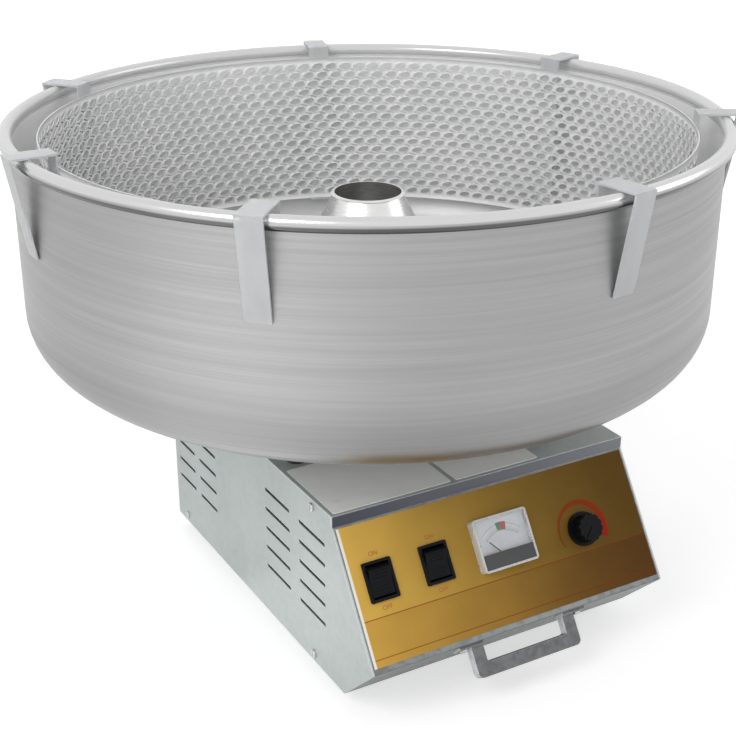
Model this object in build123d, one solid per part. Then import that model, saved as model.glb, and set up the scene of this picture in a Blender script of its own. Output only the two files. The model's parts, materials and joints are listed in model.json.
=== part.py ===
from build123d import *
import os
from math import atan2, cos, degrees, hypot, pi, radians, sin, tan

# Electric candy-floss machine. Millimetres, +Z up, origin under the spinner axis on the floor.
# The control panel faces -Y. +X is to the right of someone who stands in front of it.

# ---- Fits and clearances ----
running_gap = 0.05        # radial, shaft in bearing or pin in socket
seat_gap = 0.3            # between two bodies that rest on each other
hole_gap = 0.1            # radial, screw in hole
sheet = 1.5               # cabinet steel

# ---- Cabinet ----
foot_height = 12.0
cabinet_width = 304.0
cabinet_height = 164.0    # bottom plate to top cover
back_y = 140.0
cover_front_y = -207.0
nose_y = -277.0           # where the sloped panel ends
nose_height = 49.0        # above the bottom plate
chin_y = -227.0           # front edge of the bottom plate
cover_lip = 11.0          # folded front edge of the top cover
flange = 12.0             # folded screw flanges inside the cabinet

# ---- Cooling slots ----
slot_rows = 5
slot_pitch = 20.0
slot_drop = 34.0          # cover to the middle of the top row
slot_height = 3.8
front_slot_length = 50.0
rear_slot_length = 42.0
front_slot_offsets = (105.0, 38.0)    # behind the cover's front edge
rear_slot_offsets = (30.0, 83.0)      # before the back
back_slot_xs = (-35.0, 35.0, 100.0)
back_slot_rows = 3
grille_slot = (16.0, 3.5)
grille_inset = (60.0, 35.0)           # from the cover's right and front edges
grille_pitch = 7.0
grille_count = 6
intake_slot = (24.0, 5.5)
intake_circle = 26.0
intake_count = 8

# ---- Bowl ----
bowl_gap = 62.0           # cabinet to bowl
bowl_depth = 212.0        # bowl bottom to the centre of the rolled rim
rim_radius = 323.5
bead_radius = 6.3
bowl_inset = 2.5          # outside of the wall, inside the centre of the rim
bowl_wall = 2.0
bowl_corner = 54.0
bowl_hole_gap = 14.0      # round the air shroud
collar_height = 14.0

# ---- Net and its clips ----
net_gap = 24.5            # bowl wall to the middle of the net
net_wall = 1.2
net_drop = 3.5            # below the rim's centre
net_rise = 49.0           # above the bowl's bottom
net_columns = 42
net_rows = 7
net_cord = 5.0            # width of plastic between two openings
net_band = 4.0            # solid edge at top and bottom
clip_angles = (20.0, 71.0, 130.0, 181.0, 226.0, 278.0, 328.0)
clip_width = 22.0
clip_thickness = 1.8
clip_overhang = 8.2       # of the bridge, past the rim
clip_tongue = 78.0        # below the rim's centre
clip_toe = 3.0

# ---- Bowl supports ----
post_inset = 22.0         # from the cabinet's side
post_y = 100.0
post_radius = 9.0
pad_radius = 12.0
pad_height = 8.0
pad_bevel = 2.0
washer_radius = 13.0
washer_height = 1.5
post_screw_radius = 3.0

# ---- Air shroud round the shaft ----
shroud_radius = 72.0
shroud_wall = 1.5
shroud_rise = 24.0        # above the bowl's bottom
shroud_flange_width = 16.0
shroud_flange = 2.0
cover_hole_inset = 10.0   # inside the shroud

# ---- Spinner head ----
cone_height = 56.0
head_mouth_radius = 33.0
cone_margin = 4.5         # from the cone's foot to the bolts' circle
head_wall = 1.5
head_radius = 69.5
ribbon_height = 23.0
head_flange = 3.0
hub_gap = 6.0             # shroud to the head's hub
head_base = 4.0
mica = 3.0
ribbon_inset = 7.7        # inside the head's edge
ribbon_wall = 0.8
ribbon_slots = 40
ribbon_slot_width = 4.0
hub_radius = 14.0
hub_height = 20.0
stud_inset = 4.0
stud_radius = 1.8
stud_count = 4
terminal_inset = 13.8     # inside the ribbon
terminal_radius = 2.5
terminal_reach = 6.0      # how far a terminal shows above and below the plate
terminal_bush = 2.0       # wall of its insulator
mica_margin = 1.0
mica_inset = 4.0
ribbon_edge = 3.0         # plain band above and below its slots
mouth_lip = 2.0

# ---- Drive ----
shaft_radius = 6.0
shaft_floor_gap = 2.0
shaft_end = 8.0           # above the head's base plate
bearing_radius = 16.0
bearing_width = 10.0
race = 4.0                # wall of each bearing race
race_groove = 1.0
mount_inset = 15.0        # from the motor plate's edges
isolator_radius = 11.0
isolator_height = 20.0
isolator_waist = 2.0
isolator_collar = 3.0
motor_bolt_head = (5.5, 3.0)
motor_plate_size = 150.0
motor_plate = 3.0
motor_radius = 50.0
motor_shell_wall = 2.5
bell_height = 12.0
bell_clearance = 2.0      # round the shaft
motor_vent = (22.0, 8.0)
motor_vent_circle = 32.0
motor_vent_count = 4
shell_height = 70.0
stator_height = 46.0
rotor_radius = 29.5
air_gap = 0.5
winding_height = 8.0
winding_inset = 3.0
fan_hub = 5.0             # wall round the shaft
fan_disc = 2.0
fan_radius = 42.0
fan_height = 13.0
fan_blades = 8
blade_thickness = 2.0
mount_bolt_radius = 3.0

# ---- Slip rings and brushes ----
slip_hub_radius = 15.0
slip_hub_height = 26.0
slip_ring_radius = 20.0
slip_ring_height = 7.0
slip_ring_spacing = 12.0
slip_hub_lift = 4.0       # above the motor
brush_size = 5.0
brush_length = 14.0
holder_gap = 7.0          # round the slip rings
holder_length = 18.0
holder_width = 22.0
holder_ear = (10.0, 12.0, 4.0)
holder_screw = 8.0
spring_radius = 2.0
spring_length = 4.0

# ---- Control panel: x across, s down the slope from its top edge ----
switch_inset = 28.2       # from the panel's left end
switch_pitch = 55.1
switch_s = 51.8
bezel_width = 27.5
bezel_length = 34.5
bezel_height = 2.0
bezel_corner = 1.5
rocker_width = 21.0
rocker_radius = 14.0      # round ends, about the rocker's pivot
rocker_pivot_depth = 4.0
rocker_rise = 2.0         # above the panel at the middle
rocker_tilt = 10.0
rocker_gap = 0.6
rocker_root = 0.6         # depth below the pivot, times the radius
rib_count = 3             # grip grooves on each half
rib_start = 4.0
rib_pitch = 3.0
rib_size = 1.0
rib_inset = 4.0
pivot_radius = 1.5
pivot_length = 1.2        # how far each pin goes into the switch
switch_depth = 24.0
switch_wall = 1.6
blade_ys = (-8.0, 0.0, 8.0)
terminal_blade = (0.8, 6.3, 8.0)

meter_x = 0.0
meter_s = 50.0
meter_width = 56.0
meter_length = 47.0
meter_front = 9.0         # how far the case stands proud
meter_depth = 30.0
meter_round = 21.0        # radius of the movement behind the panel
meter_wall = 2.0
meter_corner = 3.0
meter_stud = (2.0, 8.0)
meter_stud_x = 12.0
dial_thickness = 0.8
dial_drop = 4.0           # lens to dial
lens_thickness = 1.2
cover_strip = 13.0        # blank strip under the dial
needle_length = 22.0
needle_width = 0.8
needle_thickness = 0.6
needle_hub = 2.2
needle_pin = 0.8
needle_seat = 2.0         # depth of its pin below the dial
needle_tail = 4.0
needle_rest = 40.0        # tilt of the needle to the left at rest

knob_inset = 66.0         # from the panel's right end
knob_s = 61.0
knob_radius = 15.5
knob_height = 15.0
knob_skirt = 3.0
knob_flutes = 12
knob_step = 3.0           # from the skirt in to the grip
flute_radius = 2.2
flute_offset = 1.2
knob_lift = 1.0           # above the overlay
knob_groove = 1.6
knob_chamfer = 0.6
knob_hollow = 6.0
knob_rest = 135.0         # turn of the pointer to the left at rest, its lowest setting
control_size = 36.0
control_depth = 26.0
control_blade_xs = (-10.0, 0.0, 10.0)
control_shaft_radius = 3.0
bush_radius = 5.0
bush_reach = 4.0          # above the overlay
bush_nut = (8.5, 2.5)     # radius over its corners, height

overlay_thickness = 0.4
overlay_margin = 1.5
overlay_bottom_margin = 5.0

# ---- Handle under the panel ----
handle_inner = 42.0       # half of the finger gap
handle_bar = 12.0
handle_depth = 9.0
handle_setback = 6.0
handle_reach = 31.64      # past the nose, down the slope
handle_corner = 5.0
tab_length = 14.0
tab_thickness = 2.5
tab_overhang = 12.0
tab_middle = 11.0         # down the chin from the nose

# ---- Small parts ----
screw_radius = 2.0
screw_head_radius = 4.0
screw_head_height = 2.2
nut_height = 1.6          # times the screw radius
thread_end = 2.0          # screw that shows past its nut
foot_radius = 13.0
foot_taper = 2.0
foot_inset = 32.0
foot_front_inset = 32.0
foot_back_inset = 30.0
foot_screw_radius = 2.5
plate_a_size = (116.0, 88.0)          # blank label plates
plate_b_size = (87.0, 63.0)
plate_inset = 4.0
plate_gap = 5.0
plate_thickness = 0.5
plate_corner = 2.0
strip_inset = 3.0
strip_width = 22.0
gland_inset = 62.0
gland_rise = 48.0
gland_bore = 4.5
gland_radius = 9.0
gland_length = 24.0
gland_grip = 8.0
gland_stem = 8.0
gland_taper = 8.0         # degrees
gland_nut = 5.0
gland_nut_radius = 13.0
cart_hole_radius = 3.25
cart_hole_inset = 62.0
cart_hole_front = 67.0
cart_hole_back = 60.0
capacitor_radius = 16.0
capacitor_length = 60.0
capacitor_gap = 9.0       # beside the motor plate
capacitor_y = 30.0
clip_band = 1.5           # steel of the capacitor's saddle
saddle_width = 14.0
saddle_foot = 8.0
can_corner = 1.5
block_size = (60.0, 22.0, 16.0)
block_gap = 8.5           # from the side panel
block_y = 60.0
block_ways = 5
block_barrier = 1.5
block_screw = (1.8, 3.2, 2.5)    # shank, head and head height
wire_radius = 1.3
wire_bend = 6.0
wire_pitch = 6.0
wire_end = 1.0            # how far each lead goes into its way

# ---- Places worked out from the sizes above ----
cabinet_bottom = foot_height
cabinet_top = cabinet_bottom + cabinet_height
under_cover = cabinet_top - sheet
floor_z = cabinet_bottom + sheet
half = cabinet_width / 2
inner = half - sheet
slot_top_z = cabinet_top - slot_drop
front_slot_ys = [cover_front_y + offset for offset in front_slot_offsets]
rear_slot_ys = [back_y - offset for offset in rear_slot_offsets]
panel_top = (cover_front_y, cabinet_top - cover_lip)
nose = (nose_y, cabinet_bottom + nose_height)
chin = (chin_y, cabinet_bottom)
heel = (back_y, cabinet_bottom)
panel_length = hypot(nose[0] - panel_top[0], nose[1] - panel_top[1])
slope = ((nose[0] - panel_top[0]) / panel_length, (nose[1] - panel_top[1]) / panel_length)
panel_plane = Plane(origin=(0, *panel_top), x_dir=(1, 0, 0), z_dir=(0, slope[1], -slope[0]))
chin_length = hypot(chin[0] - nose[0], chin[1] - nose[1])
chin_way = ((chin[0] - nose[0]) / chin_length, (chin[1] - nose[1]) / chin_length)
chin_plane = Plane(origin=(0, *nose), x_dir=(1, 0, 0), z_dir=(0, chin_way[1], -chin_way[0]))

motor_plate_z = floor_z + isolator_height
motor_z = motor_plate_z + motor_plate
shell_z = motor_z + bell_height
upper_bell_z = shell_z + shell_height
motor_top = upper_bell_z + bell_height
stator_z = shell_z + (shell_height - stator_height) / 2
slip_z = motor_top + slip_hub_lift

bowl_bottom_z = cabinet_top + bowl_gap
rim_z = bowl_bottom_z + bowl_depth
bowl_radius = rim_radius - bowl_inset
bowl_hole_radius = shroud_radius + bowl_hole_gap
net_radius = bowl_radius - net_gap
net_inner = net_radius - net_wall / 2
net_outer = net_radius + net_wall / 2
net_top_z = rim_z - net_drop
net_bottom_z = bowl_bottom_z + net_rise
clip_reach = rim_radius + bead_radius + clip_overhang
clip_tip_z = rim_z - clip_tongue
post_x = half - post_inset
post_top_z = bowl_bottom_z - seat_gap

shroud_top_z = bowl_bottom_z + shroud_rise
shroud_flange_radius = shroud_radius + shroud_flange_width
cover_hole_radius = shroud_radius - cover_hole_inset
head_base_z = shroud_top_z + hub_gap + hub_height
head_flange_z = head_base_z + head_base + mica + ribbon_height + mica
head_flange_top = head_flange_z + head_flange
head_top_z = head_flange_top + cone_height
stud_circle = head_radius - stud_inset
head_foot_radius = stud_circle - cone_margin
ribbon_radius = head_radius - ribbon_inset
terminal_circle = ribbon_radius - terminal_inset
shaft_bottom_z = floor_z + shaft_floor_gap
shaft_top_z = head_base_z + head_base + shaft_end
mount_square = motor_plate_size / 2 - mount_inset
holder_x = slip_ring_radius + holder_gap

switch_xs = (switch_inset - inner, switch_inset - inner + switch_pitch)
knob_x = inner - knob_inset
handle_end_s = panel_length + handle_reach
plate_a_corner = (plate_inset - half, cover_front_y + plate_inset)
plate_b_corner = (plate_a_corner[0] + plate_a_size[0] + plate_gap, plate_a_corner[1])
gland_x = gland_inset - half
gland_z = cabinet_bottom + gland_rise
capacitor_x = motor_plate_size / 2 + capacitor_gap + capacitor_radius
block_x = block_gap + block_size[0] / 2 - inner
rocker_pivot_z = -rocker_pivot_depth


# ---- Shapes used more than once ----
def block(x0, x1, y0, y1, z0, z1):
    """A box between limits."""
    return Pos((x0 + x1) / 2, (y0 + y1) / 2, (z0 + z1) / 2) * Box(x1 - x0, y1 - y0, z1 - z0)


def disc(radius, z0, z1, x=0.0, y=0.0):
    return Pos(x, y, z0) * extrude(Circle(radius), z1 - z0)


def ring(outer, bore, z0, z1, x=0.0, y=0.0):
    return Pos(x, y, z0) * extrude(Circle(outer) - Circle(bore), z1 - z0)


def polygon(points):
    return make_face(Polyline(*points, close=True))


def across(points, x0, x1):
    """An outline in Y and Z, extruded along X."""
    return extrude(Plane.YZ.offset(x0) * polygon(points), x1 - x0)


def turned(points):
    """An outline in radius and Z, turned about the spinner axis."""
    return revolve(Plane.XZ * polygon(points), Axis.Z)


def corner(before, here, after, depth):
    """The point at a mitred corner, a depth to the left of the path before-here-after."""
    a = atan2(here[1] - before[1], here[0] - before[0])
    b = atan2(after[1] - here[1], after[0] - here[0])
    reach = depth / cos((b - a) / 2)
    way = (a + b) / 2 + pi / 2
    return (here[0] + reach * cos(way), here[1] + reach * sin(way))


def beside(start, end, here, depth):
    """The point a depth to the left of a straight run's end."""
    run = hypot(end[0] - start[0], end[1] - start[1])
    return (here[0] - depth * (end[1] - start[1]) / run, here[1] + depth * (end[0] - start[0]) / run)


def band(path, depth):
    """A strip of constant thickness along an open path, on its left side."""
    last = len(path) - 1
    far = [beside(path[0], path[1], path[0], depth)]
    far += [corner(path[i - 1], path[i], path[i + 1], depth) for i in range(1, last)]
    far.append(beside(path[last - 1], path[last], path[last], depth))
    return list(path) + far[::-1]


def polar(radius, count, start=0.0):
    """Places on a circle about the spinner axis."""
    turns = [radians(start + 360.0 * i / count) for i in range(count)]
    return [(radius * cos(turn), radius * sin(turn)) for turn in turns]


def on_panel(x, s, height=0.0):
    """A place on the control panel, with local +Y up the slope and +Z out of it."""
    return panel_plane * Pos(x, -s, height)


def on_chin(x, s, height=0.0):
    """A place on the undercut face, s down it from the nose, with local +Z out of it."""
    return chin_plane * Pos(x, -s, height)


def screw(length, radius=screw_radius, head=screw_head_radius, head_height=screw_head_height):
    """A pan-head screw whose head sits on z = 0 and whose shank goes down."""
    top = fillet(extrude(Circle(head), head_height).edges().group_by(Axis.Z)[-1], head_height * 0.6)
    drive = Pos(0, 0, head_height) * Box(head * 1.2, head * 0.25, head_height * 0.8)
    return top - drive + Pos(0, 0, -length) * extrude(Circle(radius), length)


# ---- Cabinet ----
def slot_cuts(x):
    """The rows of round-ended slots through one side."""
    cuts = []
    for ys, length in ((front_slot_ys, front_slot_length), (rear_slot_ys, rear_slot_length)):
        shape = Plane.YZ * SlotOverall(length, slot_height)
        for y in ys:
            for row in range(slot_rows):
                place = Pos(x, y, slot_top_z - slot_pitch * row)
                cuts.append(place * extrude(shape, 2 * sheet, both=True))
    return cuts


def side_screw_places():
    ys = (cover_front_y + 3 * flange, back_y - 2 * flange)
    zs = (floor_z + flange / 2, under_cover - flange / 2)
    return [(y, z) for y in ys for z in zs]


def cabinet_outline():
    """The profile under the top cover, stepped back at the front for the cover's folded lip."""
    lip = cover_front_y + sheet
    return [heel, (back_y, under_cover), (lip, under_cover), (lip, panel_top[1]), panel_top, nose, chin]


def side_panel(sign):
    """One flat side: the cabinet's whole profile, with slots and screw holes."""
    low = min(sign * inner, sign * half)
    side = across(cabinet_outline(), low, low + sheet)
    holes = [
        Pos(sign * half, y, z) * Rot(0, 90, 0) * Cylinder(screw_radius + hole_gap, 4 * sheet)
        for y, z in side_screw_places()
    ]
    return side - slot_cuts(sign * half) - holes


def side_screws():
    flip = {1: 90, -1: -90}
    return [
        Pos(sign * half, y, z) * Rot(0, flip[sign], 0) * screw(2 * sheet + thread_end)
        for sign in (-1, 1) for y, z in side_screw_places()
    ]


def screw_flanges(z0, z1):
    """The two folded edges that the side screws go through."""
    return [
        block(min(s * inner, s * (inner - sheet)), max(s * inner, s * (inner - sheet)),
              cover_front_y + 2 * flange, back_y - flange, z0, z1)
        - [Pos(s * inner, y, (z0 + z1) / 2) * Rot(0, 90, 0) * Cylinder(screw_radius + hole_gap, 4 * sheet)
           for y, z in side_screw_places()]
        for s in (-1, 1)
    ]


def grille_cuts():
    """A row of small air slots in the top cover's right front corner."""
    start_x, y = half - grille_inset[0], cover_front_y + grille_inset[1]
    return [
        Pos(start_x + grille_pitch * i, y, cabinet_top)
        * extrude(SlotOverall(*grille_slot, rotation=90), sheet * 2, both=True)
        for i in range(grille_count)
    ]


def top_cover():
    plate = block(-half, half, cover_front_y, back_y, under_cover, cabinet_top)
    lip = block(-half, half, cover_front_y, cover_front_y + sheet, panel_top[1], under_cover)
    cover = plate + lip + screw_flanges(under_cover - flange, under_cover)
    cover -= disc(cover_hole_radius, under_cover, cabinet_top)
    cover -= [disc(post_screw_radius + hole_gap, under_cover, cabinet_top, x, y) for x, y in post_places()]
    cover -= [disc(screw_radius + hole_gap, under_cover, cabinet_top, x, y) for x, y in shroud_screw_places()]
    return cover - grille_cuts()


def bottom_plate():
    plate = across([chin, heel, (back_y, floor_z), corner(nose, chin, heel, sheet)], -inner, inner)
    plate += screw_flanges(floor_z, floor_z + flange)
    plate -= [disc(foot_screw_radius + hole_gap, 0, 2 * floor_z, x, y) for x, y in foot_places()]
    plate -= [disc(mount_bolt_radius + hole_gap, 0, 2 * floor_z, x, y) for x, y in mount_places()]
    plate -= [disc(cart_hole_radius, 0, 2 * floor_z, x, y) for x, y in cart_hole_places()]
    intake = Pos(intake_circle, 0, floor_z) * extrude(SlotOverall(*intake_slot), 4 * sheet, both=True)
    return plate - [Rot(0, 0, 360.0 / intake_count * i) * intake for i in range(intake_count)]


def back_panel():
    panel = block(-inner, inner, back_y - sheet, back_y, floor_z, under_cover)
    slot = Plane.XZ * SlotOverall(front_slot_length, slot_height)
    cuts = [
        Pos(x, back_y, slot_top_z - slot_pitch * row) * extrude(slot, 2 * sheet, both=True)
        for x in back_slot_xs for row in range(back_slot_rows)
    ]
    hole = Pos(gland_x, back_y, gland_z) * Rot(90, 0, 0) * Cylinder(gland_radius + hole_gap, 4 * sheet)
    return panel - cuts - hole


def panel_cutouts(depth):
    """The openings that the controls go through."""
    cuts = [
        on_panel(x, switch_s) * Box(body_width(), body_length(), depth) for x in switch_xs
    ]
    cuts.append(on_panel(meter_x, meter_s) * Cylinder(meter_round + seat_gap, depth))
    cuts.append(on_panel(knob_x, knob_s) * Cylinder(bush_radius + hole_gap, depth))
    return cuts


def control_panel():
    inside = [corner(panel_top, nose, chin, sheet), beside(panel_top, nose, panel_top, sheet)]
    return across([panel_top, nose] + inside, -inner, inner) - panel_cutouts(4 * sheet)


def chin_panel():
    outline = [nose, chin, corner(nose, chin, heel, sheet), corner(panel_top, nose, chin, sheet)]
    holes = [
        on_chin(x, s) * Cylinder(screw_radius + hole_gap, 4 * sheet) for x, s in handle_screw_places()
    ]
    return across(outline, -inner, inner) - holes


def panel_overlay():
    top, bottom = -overlay_margin, overlay_bottom_margin - panel_length
    size = (2 * (inner - overlay_margin), top - bottom)
    sheet_face = Pos(0, (top + bottom) / 2, overlay_thickness / 2) * Box(*size, overlay_thickness)
    return panel_plane * sheet_face - panel_cutouts(4 * sheet)


# ---- Handle ----
def handle_screw_places():
    """Across, and down the chin from the nose, for the screw in each tab."""
    x = handle_inner + handle_bar + tab_overhang / 2
    return [(sign * x, tab_middle) for sign in (-1, 1)]


def handle():
    """A flat U under the nose, in line with the panel, with a screwed tab on each leg."""
    outer = handle_inner + handle_bar
    start = panel_length - handle_depth
    gap_end = handle_end_s - handle_bar
    gap_start = start - handle_corner
    whole = RectangleRounded(2 * outer, handle_end_s - start, handle_corner)
    gap = RectangleRounded(2 * handle_inner, gap_end - gap_start, handle_corner / 2)
    flat = Pos(0, -(start + handle_end_s) / 2) * whole - Pos(0, -(gap_start + gap_end) / 2) * gap
    bar = panel_plane.offset(-handle_setback - handle_depth) * extrude(flat, handle_depth)
    bar -= across(cabinet_outline(), -half, half)
    tabs = [
        on_chin(sign * (outer + (tab_overhang - handle_bar) / 2), tab_middle, tab_thickness / 2)
        * Box(tab_overhang + handle_bar, tab_length, tab_thickness)
        for sign in (-1, 1)
    ]
    hole = Cylinder(screw_radius + hole_gap, 6 * tab_thickness)
    return bar + tabs - [on_chin(x, s) * hole for x, s in handle_screw_places()]


def handle_screws():
    one = screw(tab_thickness + sheet + thread_end)
    return [on_chin(x, s, tab_thickness) * one for x, s in handle_screw_places()]


# ---- Feet, mounts and small parts on the cabinet ----
def foot_places():
    ys = (chin_y + foot_front_inset, back_y - foot_back_inset)
    return [(sign * (half - foot_inset), y) for sign in (-1, 1) for y in ys]


def cart_hole_places():
    ys = (chin_y + cart_hole_front, back_y - cart_hole_back)
    return [(sign * (half - cart_hole_inset), y) for sign in (-1, 1) for y in ys]


def mount_places():
    return [(a * mount_square, b * mount_square) for a in (-1, 1) for b in (-1, 1)]


def post_places():
    return [(a * post_x, b * post_y) for a in (-1, 1) for b in (-1, 1)]


def feet():
    recess, bore, seat = foot_height / 2, foot_screw_radius + hole_gap, 2 * foot_screw_radius
    foot = turned([(bore, recess), (seat, recess), (seat, 0),
                   (foot_radius - foot_taper, 0), (foot_radius, foot_height), (bore, foot_height)])
    return [Pos(x, y, 0) * foot for x, y in foot_places()]


def foot_screws():
    head = 2 * foot_screw_radius - 2 * hole_gap
    length = foot_height / 2 + sheet + nut_stack(foot_screw_radius)
    one = Rot(180, 0, 0) * screw(length, foot_screw_radius, head, foot_height / 4)
    return [Pos(x, y, foot_height / 2) * one for x, y in foot_places()]


def nut(radius):
    """A plain hexagon nut on z = 0 that clears its screw."""
    return extrude(RegularPolygon(radius * 2, 6) - Circle(radius + hole_gap), nut_height * radius)


def nut_stack(radius):
    """The screw length that a nut takes, with the end that shows."""
    return nut_height * radius + thread_end


def foot_nuts():
    return [Pos(x, y, floor_z) * nut(foot_screw_radius) for x, y in foot_places()]


def label_plate(place, size):
    wide, long = size
    centre = Pos(place[0] + wide / 2, place[1] + long / 2, cabinet_top)
    return extrude(centre * RectangleRounded(wide, long, plate_corner), plate_thickness)


def label_strip():
    """A coloured band along the rear of the right label plate."""
    x, y = plate_b_corner
    wide, long = plate_b_size
    back = y + long - strip_inset
    return block(x + strip_inset, x + wide - strip_inset, back - strip_width, back,
                 cabinet_top + plate_thickness, cabinet_top + 2 * plate_thickness)


def cord_gland():
    """The bush that a supply cord comes in through, in the back panel."""
    grip = extrude(Circle(gland_nut_radius), gland_grip)
    grip = fillet(grip.edges().group_by(Axis.Z)[-1], gland_grip / 4)
    neck_length = gland_length - gland_grip - gland_stem
    neck = Pos(0, 0, gland_grip) * extrude(Circle(gland_radius), neck_length, taper=gland_taper)
    stem = Pos(0, 0, -gland_stem) * extrude(Circle(gland_radius), gland_stem)
    body = grip + neck + stem - Cylinder(gland_bore, 4 * gland_length)
    return Pos(gland_x, back_y, gland_z) * Rot(-90, 0, 0) * body


def gland_ring_nut():
    ring_nut = extrude(RegularPolygon(gland_nut_radius, 6) - Circle(gland_radius + hole_gap), gland_nut)
    return Pos(gland_x, back_y - sheet, gland_z) * Rot(90, 0, 0) * ring_nut


# ---- Bowl supports ----
def support_posts():
    z1 = post_top_z - pad_height - washer_height
    return [ring(post_radius, post_screw_radius + hole_gap, cabinet_top, z1, x, y) for x, y in post_places()]


def post_washers():
    z1 = post_top_z - pad_height
    bore = post_screw_radius + hole_gap
    return [ring(washer_radius, bore, z1 - washer_height, z1, x, y) for x, y in post_places()]


def post_pads():
    z0, z1 = post_top_z - pad_height, post_top_z
    bore = post_screw_radius + hole_gap
    seat, seat_z = 2 * post_screw_radius, z1 - pad_height / 2
    outline = [(bore, z0), (pad_radius, z0), (pad_radius, z1 - pad_bevel), (pad_radius - pad_bevel, z1),
               (seat, z1), (seat, seat_z), (bore, seat_z)]
    pad = turned(outline)
    return [Pos(x, y, 0) * pad for x, y in post_places()]


def post_screws():
    head_z = post_top_z - pad_height / 2
    length = head_z - under_cover + nut_stack(post_screw_radius)
    head = 2 * post_screw_radius - 2 * hole_gap
    one = screw(length, post_screw_radius, head, pad_height / 2 - 1)
    return [Pos(x, y, head_z) * one for x, y in post_places()]


def post_nuts():
    z = under_cover - nut_height * post_screw_radius
    return [Pos(x, y, z) * nut(post_screw_radius) for x, y in post_places()]


# ---- Air shroud ----
def shroud_screw_places():
    return polar((shroud_radius + shroud_flange_radius) / 2, 4, 45)


def air_shroud():
    inside = shroud_radius - shroud_wall
    tube = ring(shroud_radius, inside, cabinet_top, shroud_top_z)
    foot = ring(shroud_flange_radius, inside, cabinet_top, cabinet_top + shroud_flange)
    holes = [disc(screw_radius + hole_gap, cabinet_top, cabinet_top + shroud_flange, x, y)
             for x, y in shroud_screw_places()]
    return tube + foot - holes


def shroud_screws():
    one = screw(shroud_flange + sheet + thread_end)
    return [Pos(x, y, cabinet_top + shroud_flange) * one for x, y in shroud_screw_places()]


# ---- Bowl ----
def bowl():
    """A spun pan: flat floor with a raised collar, round corner, straight wall and rolled rim."""
    r, w, z0, c = bowl_radius, bowl_wall, bowl_bottom_z, bowl_corner
    hole, top = bowl_hole_radius, bowl_bottom_z + collar_height
    outer_way, inner_way = c * sin(radians(45)), (c - w) * sin(radians(45))
    edge = [
        Line((hole, z0), (r - c, z0)),
        ThreePointArc((r - c, z0), (r - c + outer_way, z0 + c - outer_way), (r, z0 + c)),
        Line((r, z0 + c), (r, rim_z)),
        Line((r, rim_z), (r - w, rim_z)),
        Line((r - w, rim_z), (r - w, z0 + c)),
        ThreePointArc((r - w, z0 + c), (r - c + inner_way, z0 + c - inner_way), (r - c, z0 + w)),
        Line((r - c, z0 + w), (hole + w, z0 + w)),
        Line((hole + w, z0 + w), (hole + w, top)),
        Line((hole + w, top), (hole, top)),
        Line((hole, top), (hole, z0)),
    ]
    wall = make_face(edge)
    bead = Pos(rim_radius, rim_z) * Circle(bead_radius)
    return revolve(Plane.XZ * (wall + bead), Axis.Z)


# ---- Net and clips ----
def floss_net():
    """A plastic ring with staggered six-sided openings, one wall thick."""
    usable = net_top_z - net_bottom_z - 2 * net_band
    row_pitch = usable / net_rows
    step = 360.0 / net_columns
    column_pitch = 2 * pi * net_radius / net_columns
    a, b = (column_pitch - net_cord) / 2, (row_pitch - net_cord / 2) / 2
    cell = polygon([(-a, 0), (-a / 2, -b), (a / 2, -b), (a, 0), (a / 2, b), (-a / 2, b)])
    punch = extrude(Plane.YZ * cell, 4 * net_wall, both=True)
    first = net_bottom_z + net_band + row_pitch / 2
    cuts = [
        Rot(0, 0, step * (column + row % 2 / 2)) * Pos(net_radius, 0, first + row * row_pitch) * punch
        for row in range(net_rows) for column in range(net_columns)
    ]
    return ring(net_outer, net_inner, net_bottom_z, net_top_z) - cuts


def net_clips():
    """Bent plastic strips: tongue against the wall, bridge over the rim, leg down, toe under the net."""
    leg = net_outer + seat_gap + clip_thickness
    toe_z = net_bottom_z - seat_gap - clip_thickness
    bridge = rim_z + bead_radius + seat_gap
    tip = (bowl_radius + seat_gap, clip_tip_z)
    path = [tip, (clip_reach - clip_thickness, bridge), (leg, bridge), (leg, toe_z)]
    toe = [(leg - clip_thickness - clip_toe, toe_z), (leg, toe_z),
           (leg, toe_z + clip_thickness), (leg - clip_thickness - clip_toe, toe_z + clip_thickness)]
    section = Plane.XZ * (polygon(band(path, -clip_thickness)) + polygon(toe))
    clip = extrude(section, clip_width / 2, both=True)
    return [Rot(0, 0, angle) * clip for angle in clip_angles]


# ---- Spinner head ----
def head_cap():
    """The spun cone that sugar is poured into."""
    t = head_wall
    lip = head_mouth_radius + mouth_lip
    outline = [
        (head_radius, head_flange_z), (head_radius, head_flange_top), (head_foot_radius, head_flange_top),
        (head_mouth_radius, head_top_z - mouth_lip), (lip, head_top_z - mouth_lip / 2),
        (head_mouth_radius, head_top_z),
        (head_mouth_radius - t, head_top_z), (head_foot_radius - t, head_flange_top - t),
        (head_foot_radius - 2 * t, head_flange_z),
    ]
    return turned(outline) - stud_holes(head_flange_z, head_flange_top)


def stud_holes(z0, z1):
    return [disc(stud_radius + hole_gap, z0, z1, x, y) for x, y in polar(stud_circle, stud_count, 45)]


def head_base_plate():
    plate = disc(head_radius, head_base_z, head_base_z + head_base)
    hub = disc(hub_radius, head_base_z - hub_height, head_base_z)
    holes = [disc(terminal_radius + terminal_bush, head_base_z, head_base_z + head_base, x, y)
             for x, y in polar(terminal_circle, 2)]
    bore = disc(shaft_radius + running_gap, head_base_z - hub_height, head_base_z + head_base)
    side_hole = Rot(0, 90, 0) * Cylinder(screw_radius, 2 * hub_radius)
    tapped = Pos(hub_radius, 0, head_base_z - hub_height / 2) * side_hole
    return plate + hub - bore - holes - stud_holes(head_base_z, head_base_z + head_base) - tapped


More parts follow.
